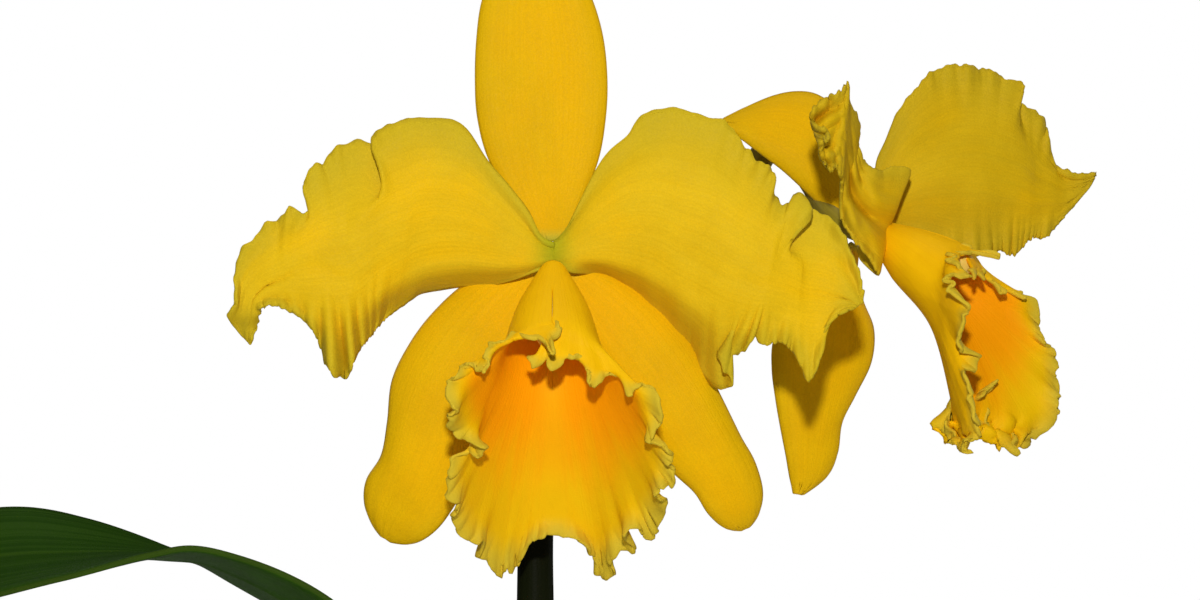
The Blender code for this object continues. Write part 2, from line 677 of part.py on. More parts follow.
def build_flowers():
    sepals = {
        "front_dorsal_sepal": (FRONT_FLOWER, DORSAL_SEPAL, -1.5),
        "front_left_lateral_sepal": (FRONT_FLOWER, LEFT_LATERAL_SEPAL, 0),
        "front_right_lateral_sepal": (FRONT_FLOWER, RIGHT_LATERAL_SEPAL, 0),
        "side_dorsal_sepal": (SIDE_FLOWER, SIDE_DORSAL_SEPAL, 0),
        "side_left_lateral_sepal": (SIDE_FLOWER, SIDE_NEAR_LATERAL_SEPAL, 1),
        "side_right_lateral_sepal": (SIDE_FLOWER, SIDE_FAR_LATERAL_SEPAL, 1),
    }
    for name, (centre, stations, bulge) in sepals.items():
        build_blade(name, centre, stations, SEPAL_THICKNESS, bulge, (4, 10))
    petals = {
        "front_left_petal": (FRONT_FLOWER, LEFT_PETAL, 2.5),
        "front_right_petal": (FRONT_FLOWER, RIGHT_PETAL, 2.5),
        "side_left_petal": (SIDE_FLOWER, SIDE_NEAR_PETAL, 1),
        "side_right_petal": (SIDE_FLOWER, SIDE_FAR_PETAL, 2),
    }
    for name, (centre, stations, bulge) in petals.items():
        build_blade(name, centre, stations, PETAL_THICKNESS, bulge, (5, 14))
    front = flower_axes(0, FRONT_LIP_PITCH)
    foot = in_flower(FRONT_FLOWER, 0, 2.9, -5.1)
    build_lip("front_lip", foot, front)
    build_column("front", foot, front)
    side = flower_axes(SIDE_YAW, SIDE_PITCH)
    foot = SIDE_FLOWER + side[0] * 2.4 * MM + side[1] * 1.4 * MM
    build_lip("side_lip", foot, side)
    build_column("side", foot, side)


clear_scene()
orchid = new_collection("potted_orchid")
cutters = new_collection("cutters", shown=False)
build_pot()
build_bark(build_rhizome_and_roots())
build_leaves(build_bulbs())
build_stem()
build_flowers()
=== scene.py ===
# %% [markdown]
# # Potted orchid with two yellow flowers
# The plant is a large-lipped orchid in a plain clay pot: one front flower facing the viewer, one side
# flower turned to the right, a twisted leaf, a stem painted near black as shade, and the growths, roots
# and bark below. The imported CAD part is loaded first, as the fixed frame every finer piece is laid over.

# %% Frame
import math
import random
from functools import lru_cache

import bpy
from mathutils import Euler, Matrix, Vector, noise


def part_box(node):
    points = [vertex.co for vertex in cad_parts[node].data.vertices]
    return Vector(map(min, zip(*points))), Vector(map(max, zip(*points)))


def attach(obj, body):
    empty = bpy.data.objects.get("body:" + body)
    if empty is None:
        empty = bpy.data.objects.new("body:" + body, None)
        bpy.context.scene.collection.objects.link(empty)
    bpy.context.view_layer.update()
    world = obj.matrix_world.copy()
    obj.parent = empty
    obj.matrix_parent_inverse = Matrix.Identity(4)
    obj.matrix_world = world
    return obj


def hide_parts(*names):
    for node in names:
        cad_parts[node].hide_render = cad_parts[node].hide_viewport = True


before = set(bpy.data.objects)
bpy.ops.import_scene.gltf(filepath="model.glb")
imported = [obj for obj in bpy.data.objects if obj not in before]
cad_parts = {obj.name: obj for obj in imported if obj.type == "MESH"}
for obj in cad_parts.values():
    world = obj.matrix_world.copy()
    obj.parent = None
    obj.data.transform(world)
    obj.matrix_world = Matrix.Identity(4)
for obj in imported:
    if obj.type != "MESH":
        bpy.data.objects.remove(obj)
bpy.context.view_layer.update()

MM = 0.001

# %% [markdown]
# ## Places
# The top of the stem is where both flower stalks leave, so both flower centres are measured from the
# stem's box. The pot's own box gives its height and rim, and the bark's box gives the level of the bark.

# %% Places taken from the frame
stem_low, stem_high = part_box("peduncle")
STEM_TOP = Vector(((stem_low.x + stem_high.x) / 2, (stem_low.y + stem_high.y) / 2, stem_high.z))
FRONT = STEM_TOP + Vector((4.4, -26, 48)) * MM
SIDE = FRONT + Vector((72.9, 45, 4.1)) * MM
POT_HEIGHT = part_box("pot")[1].z
POT_RIM = (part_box("pot")[1].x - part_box("pot")[0].x) / 2
BARK_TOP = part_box("bark_medium")[1].z
print("front flower", FRONT, "side flower", SIDE, "bark top", BARK_TOP)


def end_of(node, highest):
    """The middle of a CAD node's top or bottom, from the points within half a millimetre of it."""
    points = [v.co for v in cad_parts[node].data.vertices]
    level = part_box(node)[1 if highest else 0].z
    near = [p for p in points if abs(p.z - level) < 0.5 * MM]
    return sum(near, Vector()) / len(near)


# %% [markdown]
# ## Curves and grids
# Petals, leaves and stems are all curved skins, so one way of working serves them: a grid primitive whose
# points are laid along smooth curves. A grid keeps its own UV map, which later carries the veins from
# base to tip. Modelling a waved margin by pushing points by hand would give the same skin but could not
# be repeated.

# %% Smooth curves
def through(points, t):
    """The point at t, from 0 to 1, of the smooth curve through the points (or plain numbers)."""
    span = min(max(t, 0), 1) * (len(points) - 1)
    first = min(int(span), len(points) - 2)
    f = span - first
    a, b, c, d = (points[min(max(k, 0), len(points) - 1)] for k in range(first - 1, first + 3))
    return 0.5 * (2 * b + (c - a) * f + (2 * a - 5 * b + 4 * c - d) * f**2 + (3 * b - a - 3 * c + d) * f**3)


def eased(points, t, reach):
    """The broad sweep of the curve near t, without its small folds."""
    steps = range(-4, 5)
    return sum((through(points, t + reach * k / 4) for k in steps), Vector()) / len(steps)


def smooth_step(low, high, value):
    share = min(max((value - low) / (high - low), 0), 1)
    return share * share * (3 - 2 * share)


def ripple(x, y, z):
    """Smooth noise, from about -1 to 1, at a place."""
    return noise.noise(Vector((x, y, z)))


def on_ring(radius, angle, height=0.0):
    return Vector((radius * math.cos(angle), radius * math.sin(angle), height))

# %% [markdown]
# ## Laying a skin
# A grid primitive is made at the origin and every point of it is put in place by a formula. Points that
# land together are merged and the normals made consistent afterwards, so a tube closes along its seam and
# both ends of a stem close to a point.

# %% Laying a grid
MERGE = 1e-6


def laid_grid(name, cells, place, facing=None):
    """A grid of across by along cells, its points where place(u, v) says, facing the given way."""
    bpy.ops.object.select_all(action="DESELECT")
    bpy.ops.mesh.primitive_grid_add(x_subdivisions=cells[0], y_subdivisions=cells[1], size=1)
    piece = bpy.context.object
    piece.name = piece.data.name = name
    for vert in piece.data.vertices:
        vert.co = place(vert.co.x + 0.5, vert.co.y + 0.5)
    bpy.ops.object.mode_set(mode="EDIT")
    bpy.ops.mesh.select_all(action="SELECT")
    bpy.ops.mesh.remove_doubles(threshold=MERGE)
    bpy.ops.mesh.normals_make_consistent(inside=False)
    bpy.ops.object.mode_set(mode="OBJECT")
    if facing is not None:
        mean = sum((face.normal * face.area for face in piece.data.polygons), Vector())
        if mean.dot(Vector(facing)) < 0:
            bpy.ops.object.mode_set(mode="EDIT")
            bpy.ops.mesh.select_all(action="SELECT")
            bpy.ops.mesh.flip_normals()
            bpy.ops.object.mode_set(mode="OBJECT")
    bpy.ops.object.shade_smooth()
    return piece


# %% [markdown]
# ## Thickness
# A petal is thick in the middle and thins to its edge. The grid gets its thickness from a solidify
# modifier, with a vertex group that is empty at the open edge and full a few cells in. The points of the
# far skin are marked, so a material can tell a petal's back or a lip's inside from its front.

# %% Giving a sheet its thickness
def thicken(piece, thickness, edge_share=0.2):
    """Thickens a sheet on both sides, thinner at its edge, and marks the skin behind as 'back'."""
    bpy.ops.object.select_all(action="DESELECT")
    piece.select_set(True)
    bpy.context.view_layer.objects.active = piece
    piece.vertex_groups.new(name="full")
    weights = bpy.context.scene.tool_settings
    bpy.ops.object.mode_set(mode="EDIT")
    bpy.ops.mesh.select_all(action="SELECT")
    weights.vertex_group_weight = 1
    bpy.ops.object.vertex_group_assign()
    bpy.ops.mesh.select_all(action="DESELECT")
    bpy.ops.mesh.select_non_manifold()
    weights.vertex_group_weight = 0
    bpy.ops.object.vertex_group_assign()
    bpy.ops.mesh.select_all(action="SELECT")
    bpy.ops.object.vertex_group_smooth(factor=0.5, repeat=3)
    bpy.ops.object.mode_set(mode="OBJECT")
    count = len(piece.data.vertices)
    wall = piece.modifiers.new("wall", "SOLIDIFY")
    wall.thickness = thickness
    wall.offset = 0
    wall.vertex_group = "full"
    wall.thickness_vertex_group = edge_share
    bpy.ops.object.modifier_apply(modifier=wall.name)
    marks = piece.data.attributes.new("back", "FLOAT", "POINT")
    marks.data.foreach_set("value", [0.0 if k < count else 1.0 for k in range(len(piece.data.vertices))])
    return piece


# %% [markdown]
# ## Declaring a piece
# Every finished piece moves with the one body, stands for the CAD node it was laid over, and takes the
# finish it is given. The triangle count is printed so a heavy piece is seen at once.

# %% Declaring a piece
def declare(piece, node, paint):
    piece.data.materials.clear()
    piece.data.materials.append(paint)
    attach(piece, "root")
    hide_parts(node)
    triangles = sum(len(face.vertices) - 2 for face in piece.data.polygons)
    print(f"{piece.name}: {triangles} triangles")
    return piece


# %% [markdown]
# ## Materials
# All colour comes from small procedural effects. The ones several materials share are node groups:
# the fine tissue of petals and leaves, and the veins that run from base to tip along the UV map.
# Groups put out masks only, and each material mixes its own colours with them.

# %% Node helpers
def add(tree, kind, inputs=(), **settings):
    """A node of that kind. inputs pairs a socket with a value, or with the output to link to it."""
    made = tree.nodes.new(kind)
    for key, value in settings.items():
        setattr(made, key, value)
    for key, value in inputs:
        if isinstance(value, bpy.types.NodeSocket):
            tree.links.new(value, made.inputs[key])
        else:
            made.inputs[key].default_value = value
    return made


def maths(tree, operation, a, b=0.0):
    return add(tree, "ShaderNodeMath", ((0, a), (1, b)), operation=operation).outputs[0]


def remap(tree, value, low, high, first=0.0, last=1.0):
    sockets = (("Value", value), ("From Min", low), ("From Max", high), ("To Min", first), ("To Max", last))
    return add(tree, "ShaderNodeMapRange", sockets, interpolation_type="SMOOTHSTEP").outputs["Result"]


def blend(tree, share, a, b):
    """Colour a going to colour b with the share."""
    pair = [(*c, 1) if isinstance(c, tuple) else c for c in (a, b)]
    made = add(tree, "ShaderNodeMix", ((0, share),), data_type="RGBA")
    for key, value in zip((6, 7), pair):
        if isinstance(value, bpy.types.NodeSocket):
            tree.links.new(value, made.inputs[key])
        else:
            made.inputs[key].default_value = value
    return made.outputs[2]


def tint(tree, colour, mask, strength, other):
    """The colour going to another one where the mask is, by a strength."""
    return blend(tree, maths(tree, "MULTIPLY", mask, strength), colour, other)


def noise_at(tree, vector, scale, detail=3.0, roughness=0.5):
    sockets = (("Vector", vector), ("Scale", scale), ("Detail", detail), ("Roughness", roughness))
    return add(tree, "ShaderNodeTexNoise", sockets).outputs["Fac"]


def scaled(tree, vector, factors):
    return add(tree, "ShaderNodeVectorMath", ((0, vector), (1, factors)), operation="MULTIPLY").outputs[0]


def place_of(tree):
    return add(tree, "ShaderNodeTexCoord").outputs["Object"]


def uv_of(tree):
    return add(tree, "ShaderNodeUVMap", uv_map="UVMap").outputs["UV"]


def split(tree, vector):
    return add(tree, "ShaderNodeSeparateXYZ", (("Vector", vector),)).outputs


def new_group(name, outputs, inputs=()):
    tree = bpy.data.node_groups.new(name, "ShaderNodeTree")
    for title in inputs:
        tree.interface.new_socket(title, in_out="INPUT", socket_type="NodeSocketFloat")
    for title in outputs:
        tree.interface.new_socket(title, in_out="OUTPUT", socket_type="NodeSocketFloat")
    return tree, tree.nodes.new("NodeGroupInput").outputs, tree.nodes.new("NodeGroupOutput").inputs


def use_group(tree, group, inputs=()):
    made = tree.nodes.new("ShaderNodeGroup")
    made.node_tree = group
    for key, value in inputs:
        made.inputs[key].default_value = value
    return made.outputs


def new_paint(name, roughness, specular):
    made = bpy.data.materials.new(name)
    made.use_nodes = True
    shader = made.node_tree.nodes["Principled BSDF"]
    shader.inputs["Roughness"].default_value = roughness
    shader.inputs["Specular IOR Level"].default_value = specular
    return made, made.node_tree, shader


def bump(tree, shader, height, strength, distance):
    sockets = (("Height", height), ("Strength", strength), ("Distance", distance))
    made = add(tree, "ShaderNodeBump", sockets)
    tree.links.new(made.outputs["Normal"], shader.inputs["Normal"])

# %% [markdown]
# ## Shared effects
# Tissue mottles and grains a living skin, veins run from base to tip over the UV map, and edges tells the
# margin and the foot of a petal. They are shared so that every petal keeps one character when a colour
# changes.

# %% Shared effects: tissue, veins and edges
tissue, _, tissue_out = new_group("tissue", ("Mottle", "Grain", "Cells"))
spot = place_of(tissue)
tissue.links.new(remap(tissue, noise_at(tissue, spot, 90), 0.3, 0.7), tissue_out["Mottle"])
tissue.links.new(remap(tissue, noise_at(tissue, spot, 2600, 3, 0.6), 0.3, 0.7), tissue_out["Grain"])
cells = add(tissue, "ShaderNodeTexVoronoi", (("Vector", spot), ("Scale", 2200)))
tissue.links.new(cells.outputs["Distance"], tissue_out["Cells"])

veins, veins_in, veins_out = new_group("veins", ("Veins", "Streaks"), ("Count",))
across, along, _ = split(veins, uv_of(veins))
fan = maths(veins, "MULTIPLY", across, veins_in["Count"])
lane = add(veins, "ShaderNodeCombineXYZ", (("X", fan), ("Y", maths(veins, "MULTIPLY", along, 2.2))))
fine = noise_at(veins, lane.outputs[0], 1.0, 2)
veins.links.new(remap(veins, fine, 0.42, 0.62), veins_out["Veins"])
wide = noise_at(veins, scaled(veins, lane.outputs[0], (0.2, 0.8, 1)), 1.0, 2)
veins.links.new(remap(veins, wide, 0.35, 0.65), veins_out["Streaks"])

edges, _, edges_out = new_group("edges", ("Margin", "Rim", "Foot"))
across, along, _ = split(edges, uv_of(edges))
inward = maths(edges, "MINIMUM", across, maths(edges, "SUBTRACT", 1.0, across))
inward = maths(edges, "MINIMUM", inward, maths(edges, "MULTIPLY", maths(edges, "SUBTRACT", 1.0, along), 1.6))
edges.links.new(remap(edges, inward, 0.0, 0.3, 1.0, 0.0), edges_out["Margin"])
edges.links.new(remap(edges, inward, 0.0, 0.02, 1.0, 0.0), edges_out["Rim"])
edges.links.new(remap(edges, along, 0.0, 0.055, 1.0, 0.0), edges_out["Foot"])
print("node groups:", [g.name for g in bpy.data.node_groups])

# %% [markdown]
# ## Petal yellow
# A petal is a saturated yellow with a slightly greener, duller margin and a green foot where it joins the
# others. Fine veins run lengthwise, and tiny raised cells give the satin sparkle. The sepals share the
# same paint with fewer veins and a fainter margin.

# %% Petal paint
def petal_paint(name, main, deep, margin, foot, vein_count, edge_strength):
    made, tree, shader = new_paint(name, 0.55, 0.05)
    skin = use_group(tree, tissue)
    lines = use_group(tree, veins, (("Count", vein_count),))
    edge = use_group(tree, edges)
    colour = tint(tree, main, skin["Mottle"], 0.45, deep)
    sunny = remap(tree, noise_at(tree, place_of(tree), 34), 0.44, 0.62)
    warm = (min(1, main[0] * 1.1), main[1] * 1.0, main[2] * 0.3)
    colour = tint(tree, colour, sunny, 0.7, warm)
    colour = tint(tree, colour, lines["Veins"], 0.2, deep)
    colour = tint(tree, colour, lines["Streaks"], 0.07, margin)
    colour = tint(tree, colour, edge["Margin"], edge_strength, margin)
    colour = tint(tree, colour, edge["Foot"], 0.8, foot)
    behind = add(tree, "ShaderNodeAttribute", attribute_name="back").outputs["Fac"]
    colour = tint(tree, colour, behind, 0.35, margin)
    grain = remap(tree, skin["Grain"], 0.0, 1.0, 0.96, 1.03)
    shade = add(tree, "ShaderNodeVectorMath", ((0, colour), (3, grain)), operation="SCALE").outputs[0]
    tree.links.new(shade, shader.inputs["Base Color"])
    tree.links.new(remap(tree, skin["Cells"], 0.0, 0.6, 0.36, 0.62), shader.inputs["Roughness"])
    relief = maths(tree, "ADD", skin["Cells"], maths(tree, "MULTIPLY", lines["Veins"], 0.7))
    relief = maths(tree, "ADD", relief, maths(tree, "MULTIPLY", skin["Grain"], 0.6))
    bump(tree, shader, relief, 0.32, 0.00012)
    return made


PETAL = petal_paint(
    "petal_yellow",
    (0.86, 0.55, 0.009), (0.72, 0.43, 0.002), (0.52, 0.42, 0.02), (0.42, 0.46, 0.015), 70, 0.6,
)
SEPAL = petal_paint(
    "sepal_yellow",
    (0.86, 0.50, 0.001), (0.76, 0.40, 0.001), (0.66, 0.44, 0.006), (0.52, 0.54, 0.05), 60, 0.3,
)

# %% [markdown]
# ## Lip paint
# The lip is golden outside. Inside, the throat is deep orange with a lighter midline, and the waved
# margin turns a pale greenish yellow. The inside is told from the outside by the mark that the thickening
# left.

# %% Lip paint
LIP, tree, shader = new_paint("lip_orange", 0.55, 0.05)
skin = use_group(tree, tissue)
lines = use_group(tree, veins, (("Count", 150),))
around, along, _ = split(tree, uv_of(tree))
inside = add(tree, "ShaderNodeAttribute", attribute_name="back").outputs["Fac"]
off_middle = maths(tree, "ABSOLUTE", maths(tree, "SUBTRACT", around, 0.5))
wander = maths(tree, "MULTIPLY", maths(tree, "SUBTRACT", lines["Streaks"], 0.5), 0.05)
outward = maths(tree, "ADD", along, wander)
flank = remap(tree, off_middle, 0.07, 0.3, 0.0, 0.17)
throat = remap(tree, maths(tree, "SUBTRACT", outward, flank), 0.42, 0.7, 1.0, 0.0)
throat = maths(tree, "MULTIPLY", throat, inside)
middle = remap(tree, off_middle, 0.0, 0.06, 0.7, 0.0)
pale = remap(tree, maths(tree, "ADD", along, maths(tree, "MULTIPLY", wander, 0.4)), 0.78, 0.95)
colour = blend(tree, inside, (0.97, 0.55, 0.002), (0.88, 0.54, 0.002))
colour = tint(tree, colour, skin["Mottle"], 0.5, (0.84, 0.45, 0.001))
colour = blend(tree, throat, colour, (0.99, 0.36, 0.0003))
colour = tint(tree, colour, middle, throat, (0.90, 0.44, 0.002))
colour = tint(tree, colour, lines["Veins"], 0.08, (0.80, 0.30, 0.001))
colour = tint(tree, colour, pale, 0.65, (0.58, 0.47, 0.04))
tree.links.new(colour, shader.inputs["Base Color"])
tree.links.new(remap(tree, skin["Cells"], 0.0, 0.6, 0.38, 0.62), shader.inputs["Roughness"])
relief = maths(tree, "ADD", skin["Cells"], maths(tree, "MULTIPLY", lines["Veins"], 0.8))
bump(tree, shader, relief, 0.3, 0.00012)

# %% [markdown]
# ## A blade between two margins
# Petals and sepals are laid between two margins, given point for point across from each other in the
# flower's own millimetres. Deep folds and slits belong to the margin only, so they fade out within a
# third of the blade's width: the broad sweep of the margin carries the rest. This keeps a slit sharp at
# its edge and the middle calm.

# %% Blade maker
def from_flower(centre, point):
    """A place in the flower's own millimetres (right, towards the viewer, up) put into the frame."""
    return centre + Vector((point.x, -point.y, point.z)) * MM


FRINGE_FOLDS, FRINGE_DEPTH_FOLDS, FRILL_FOLDS = 62, 70, 26
FRINGE_DEPTH, FRILL_DEPTH = 1.2, 2.2


def blade(name, centre, rows, cells, thickness, relief, reach=0.34, sweep=0.14, crinkle=1.0, seed=1):
    one = [Vector(row[:3]) for row in rows]
    other = [Vector(row[3:]) for row in rows]

    @lru_cache(maxsize=None)
    def rails(v):
        window = sweep * min(1, 4 * v, 4 * (1 - v))
        broad_one, broad_other = eased(one, v, window), eased(other, v, window)
        return broad_one, through(one, v) - broad_one, broad_other, through(other, v) - broad_other

    def place(u, v):
        broad_one, fold_one, broad_other, fold_other = rails(round(v, 5))
        point = broad_one.lerp(broad_other, u)
        point += fold_one * max(0, 1 - u / reach) ** 1.6 + fold_other * max(0, 1 - (1 - u) / reach) ** 1.6
        near = 1 - min(u, 1 - u) / 0.5
        side = -1 if u < 0.5 else 1
        outward = (broad_other - broad_one).normalized() * side
        fringe = crinkle * near**12 * smooth_step(0.12, 0.3, v)
        point += outward * fringe * ripple(v * FRINGE_FOLDS, side * 3, seed)
        frill = near**4 * smooth_step(0.15, 0.4, v) * crinkle
        point.y += frill * FRILL_DEPTH * ripple(v * FRILL_FOLDS, side * 7, seed + 5)
        depth = fringe * FRINGE_DEPTH * ripple(v * FRINGE_DEPTH_FOLDS, side * 7, seed + 8)
        point.y += relief(u, v) + depth
        return from_flower(centre, point)

    return thicken(laid_grid(name, cells, place, facing=(0, -1, 0)), thickness)


def crown(u, v):
    """A gentle swelling over the middle of a blade."""
    return 4 * u * (1 - u) * math.sin(math.pi * min(1, 1.1 * v + 0.05))


def groove(u, middle, width):
    return math.exp(-(((u - middle) / width) ** 2))


def waves(u, v, seed, scale=(5, 7)):
    """Soft swells, stronger towards the margins."""
    near = (1 - min(u, 1 - u) / 0.5) ** 1.5
    return near * ripple(u * scale[0], v * scale[1], seed)


# %% [markdown]
# ## Front petals
# The two front petals are broad and ruffled. The left one has two rounded lobes with a slit between them,
# a notch at its side, a folded tip and a pleated lower corner. The right one has a small flap over a slit
# and a pleated lower corner. Both have a midrib groove, and their lower margins roll away near the base.

# %% Front left petal
PETAL_WALL = 1.0
LEFT_PETAL = [
    (0.3, -1.2, 1.4, 0.3, -1.2, -3.2),
    (-2.9, -0.2, 3.2, -3.6, 0.4, -4.6),
    (-5.5, 0.3, 8.6, -8, 0.3, -6.4),
    (-10, 0.8, 14.5, -14, -0.8, -7.8),
    (-14.5, 1, 19.8, -20.7, -1.6, -8.1),
    (-18.5, 1.4, 26, -25.5, -2, -8.8),
    (-21.6, 1.8, 28.4, -29.3, -1.8, -9.5),
    (-25.1, 2, 28.9, -32, -1.4, -11.2),
    (-30.1, 2.2, 29, -34.5, -1, -13),
    (-33.4, 2.4, 28.4, -36.3, -0.5, -14.4),
    (-37.2, 2.8, 26.8, -37.6, -0.2, -15.6),
    (-39.8, 3.4, 24.6, -38.6, 0, -16.6),
    (-39.2, 3.6, 21.4, -39.2, 0.2, -17.4),
    (-36.4, 3, 17.8, -39.8, 0.4, -18.2),
    (-33.2, 2, 13.9, -40.4, 0.6, -19),
    (-34.4, 1.4, 14.3, -41, 0.8, -19.8),
    (-37.4, 0.8, 18.4, -41.6, 1, -20.6),
    (-40.2, 0.8, 23.4, -42.3, 1.4, -21.6),
    (-44.9, 1.8, 23.7, -43.2, 2, -23.4),
    (-48, 2.4, 22.2, -44.2, 2.6, -26.4),
    (-50.6, 2.6, 19.4, -45.6, 3, -28.2),
    (-53, 3.2, 18.0, -47.4, 3.4, -27.8),
    (-54.7, 4, 14.4, -49.6, 3.2, -25.4),
    (-54.2, 4.2, 12.2, -50.8, 3.2, -22.6),
    (-52.0, 3.8, 11.2, -51.6, 3.4, -19.8),
    (-52.2, 5.2, 8.8, -52.6, 3.6, -17.6),
    (-54.9, 6.2, 8.2, -54.2, 3.8, -15.8),
    (-57.2, 5.0, 9.4, -56.2, 4, -14.2),
    (-59.4, 4, 7.4, -58.2, 4.2, -13.2),
    (-62.9, 5, 5.5, -60, 4.6, -12.4),
    (-65.6, 5.4, 2.4, -61.8, 5, -12.2),
    (-68.2, 5.6, 0, -62.8, 5.2, -12.4),
    (-69.5, 5.8, -4.5, -63.6, 5.2, -12.8),
    (-69.4, 5.8, -9, -64.0, 5, -13.2),
    (-69.6, 5, -12.0, -64.4, 4.4, -14),
    (-71.4, 1.5, -14.3, -65, 2, -15.8),
    (-70, -1, -16.8, -65.8, 0, -18.4),
    (-68.0, -3, -19.2, -66.8, -1.6, -20.9),
]


def left_relief(u, v):
    middle = through([0.5, 0.6, 0.66, 0.6, 0.5, 0.62, 0.77], v)
    pleats = 4.6 * ripple(v * 25, u * 2.2, 51) * smooth_step(0.6, 1, u) * groove(v, 0.56, 0.2)
    roll = -5.5 * smooth_step(0.8, 1, u) * smooth_step(0.02, 0.1, v) * smooth_step(0.5, 0.3, v)
    return 3.6 * crown(u, v) - 0.7 * groove(u, middle, 0.03) * v + 2.8 * waves(u, v, 3) + pleats + roll


PETAL_CELLS = (44, 250)
front_left = blade(
    "front_left_petal_fine", FRONT, LEFT_PETAL, PETAL_CELLS, PETAL_WALL * MM, left_relief, seed=2
)
declare(front_left, "front_left_petal", PETAL)

# %% [markdown]
# ## Front right petal
# A real flower's two petals are never true mirrors, so this one has an outline of its own: a flap over a
# slit above, and a long pleated corner below.

# %% Front right petal
RIGHT_PETAL = [
    (-0.3, -1.4, 1.4, -0.3, -1.4, -3.2),
    (2.9, -0.2, 4.8, 4.0, 0.4, -5),
    (5.5, 0.3, 10.1, 8, 0, -5.4),
    (9.2, 0.6, 17.4, 12.3, -0.6, -7.2),
    (12.3, 1, 21.8, 16.7, -1.2, -10.2),
    (16.4, 1.3, 25.3, 19.6, -1.4, -12.4),
    (18.3, 1.5, 28.4, 22.2, -1.4, -14.6),
    (21.3, 1.8, 30.6, 24.6, -1.2, -16.8),
    (26.8, 2, 31.2, 27, -0.8, -18.9),
    (31.2, 2.2, 29.9, 29, -0.4, -20.8),
    (36.7, 2.6, 28.6, 30.6, 0, -22.4),
    (40, 2.8, 26, 32, 0.6, -25.4),
    (42.4, 3, 22.4, 33.8, 1.2, -28.6),
    (44.9, 3.4, 19.7, 36.6, 1.8, -30.8),
    (47.2, 3.2, 18.3, 39.4, 2.4, -29.6),
    (48.8, 3, 16.3, 37.6, 2.8, -26.4),
    (48.3, 3.2, 13.2, 36.0, 3, -23),
    (49.8, 3.8, 10.2, 38.6, 3.2, -23.5),
    (51.9, 4.4, 10.4, 41.4, 3.4, -22.4),
    (53.6, 5, 12.6, 42.9, 3.6, -20.7),
    (56, 5.6, 10.4, 44.2, 3.8, -19.2),
    (56.4, 6, 7, 46, 4, -20.9),
    (53.6, 6, 4.9, 47.6, 4.1, -20.7),
    (50, 5.2, 3.4, 49, 4.2, -20.3),
    (45.4, 4.2, 2.6, 50.4, 4.2, -20.6),
    (47.6, 3, 4.2, 51.6, 4.2, -21.4),
    (51.5, 2.4, 6.8, 52.9, 4.2, -22.8),
    (56.2, 2.6, 8.9, 54.4, 4.3, -26),
    (59.8, 3.6, 7.7, 55.9, 4.6, -29),
    (62.3, 4.2, 5.3, 57.6, 4.8, -26.4),
    (64.2, 4.6, 2, 58.9, 5, -22.2),
    (65.5, 5, -1.6, 58.7, 5, -18.8),
    (67.2, 5, -5.5, 60.7, 5, -15.7),
    (67.6, 5, -9, 63, 5, -13.9),
    (67.8, 4.8, -11.7, 66, 4.8, -12.6),
]


def right_relief(u, v):
    middle = through([0.5, 0.55, 0.6, 0.55, 0.5, 0.5, 0.5], v)
    pleats = 4.4 * ripple(v * 26, u * 2.2, 52) * smooth_step(0.62, 1, u) * groove(v, 0.45, 0.2)
    roll = -9.0 * smooth_step(0.76, 1, u) * smooth_step(0.02, 0.1, v) * smooth_step(0.46, 0.32, v)
    return 3.8 * crown(u, v) - 0.6 * groove(u, middle, 0.03) * v + 2.8 * waves(u, v, 8) + pleats + roll


front_right = blade(
    "front_right_petal_fine", FRONT, RIGHT_PETAL, PETAL_CELLS, PETAL_WALL * MM, right_relief, seed=6
)
declare(front_right, "front_right_petal", PETAL)

# %% [markdown]
# ## Front sepals
# The three sepals stand behind the petals: a smooth upright one and two that curve down like sickles on
# either side of the lip. They are thicker and calmer than the petals, with only a light lengthwise
# fluting.

# %% Front sepals
DORSAL_SEPAL = [
    (-2.9, -3.6, 2.0, 2.6, -3.6, 2.0),
    (-8.5, -3.8, 10, 6.0, -3.8, 10),
    (-14.3, -4, 20, 9.9, -4, 20),
    (-16.8, -4.5, 29, 11.5, -4.5, 29),
    (-17.4, -5, 37.5, 11.9, -5, 37.5),
    (-17.1, -6, 47, 11.0, -6, 47),
    (-15.9, -7, 55.5, 8.6, -7, 55.5),
    (-12.8, -8, 63, 4.8, -8, 63),
    (-8.6, -9, 68.3, 0.4, -9, 68.3),
    (-5.4, -9.4, 70, -2.8, -9.4, 70),
]
LEFT_LATERAL_SEPAL = [
    (-3.4, -4, -3.4, -0.7, -4, -4.5),
    (-12.5, -6, -4.4, -3.5, -4.5, -15),
    (-19.8, -6.4, -7.6, -7.5, -5, -25),
    (-27, -5.5, -14.2, -11.5, -5.5, -34),
    (-32.2, -6, -21.3, -14.5, -6, -41),
    (-35.8, -6.5, -29, -17, -6.5, -47),
    (-36.8, -7, -38, -19.5, -7, -52),
    (-38.2, -8, -45.5, -22.3, -8, -56.8),
    (-41.6, -9.4, -51, -25.5, -9.4, -61.3),
    (-42.2, -11.4, -56, -29, -11.4, -64.2),
    (-40.8, -13.8, -60.5, -32.5, -13.8, -65.4),
    (-38.4, -15.6, -63.8, -36.8, -15.6, -64.8),
]
RIGHT_LATERAL_SEPAL = [
    (3.4, -4, -3.4, 0.7, -4, -4.5),
    (13.4, -6, -5.8, 4.2, -4.5, -15),
    (22.6, -6.4, -11.6, 8.5, -5, -24.5),
    (29.4, -6.4, -18.8, 13.5, -5.5, -32.5),
    (34.5, -6, -27.5, 18, -6, -39),
    (38.3, -6.5, -35, 22.5, -6.5, -45),
    (41.5, -7, -41.5, 27, -7, -49.6),
    (44.6, -8, -47, 31.5, -8, -53.8),
    (46.4, -9.8, -53.5, 34.5, -9.8, -58.5),
    (45.6, -12.4, -58.6, 38.2, -12.4, -61.7),
    (43.3, -14.6, -61.7, 42.2, -14.6, -62.2),
]


SEPAL_WALL = 1.4


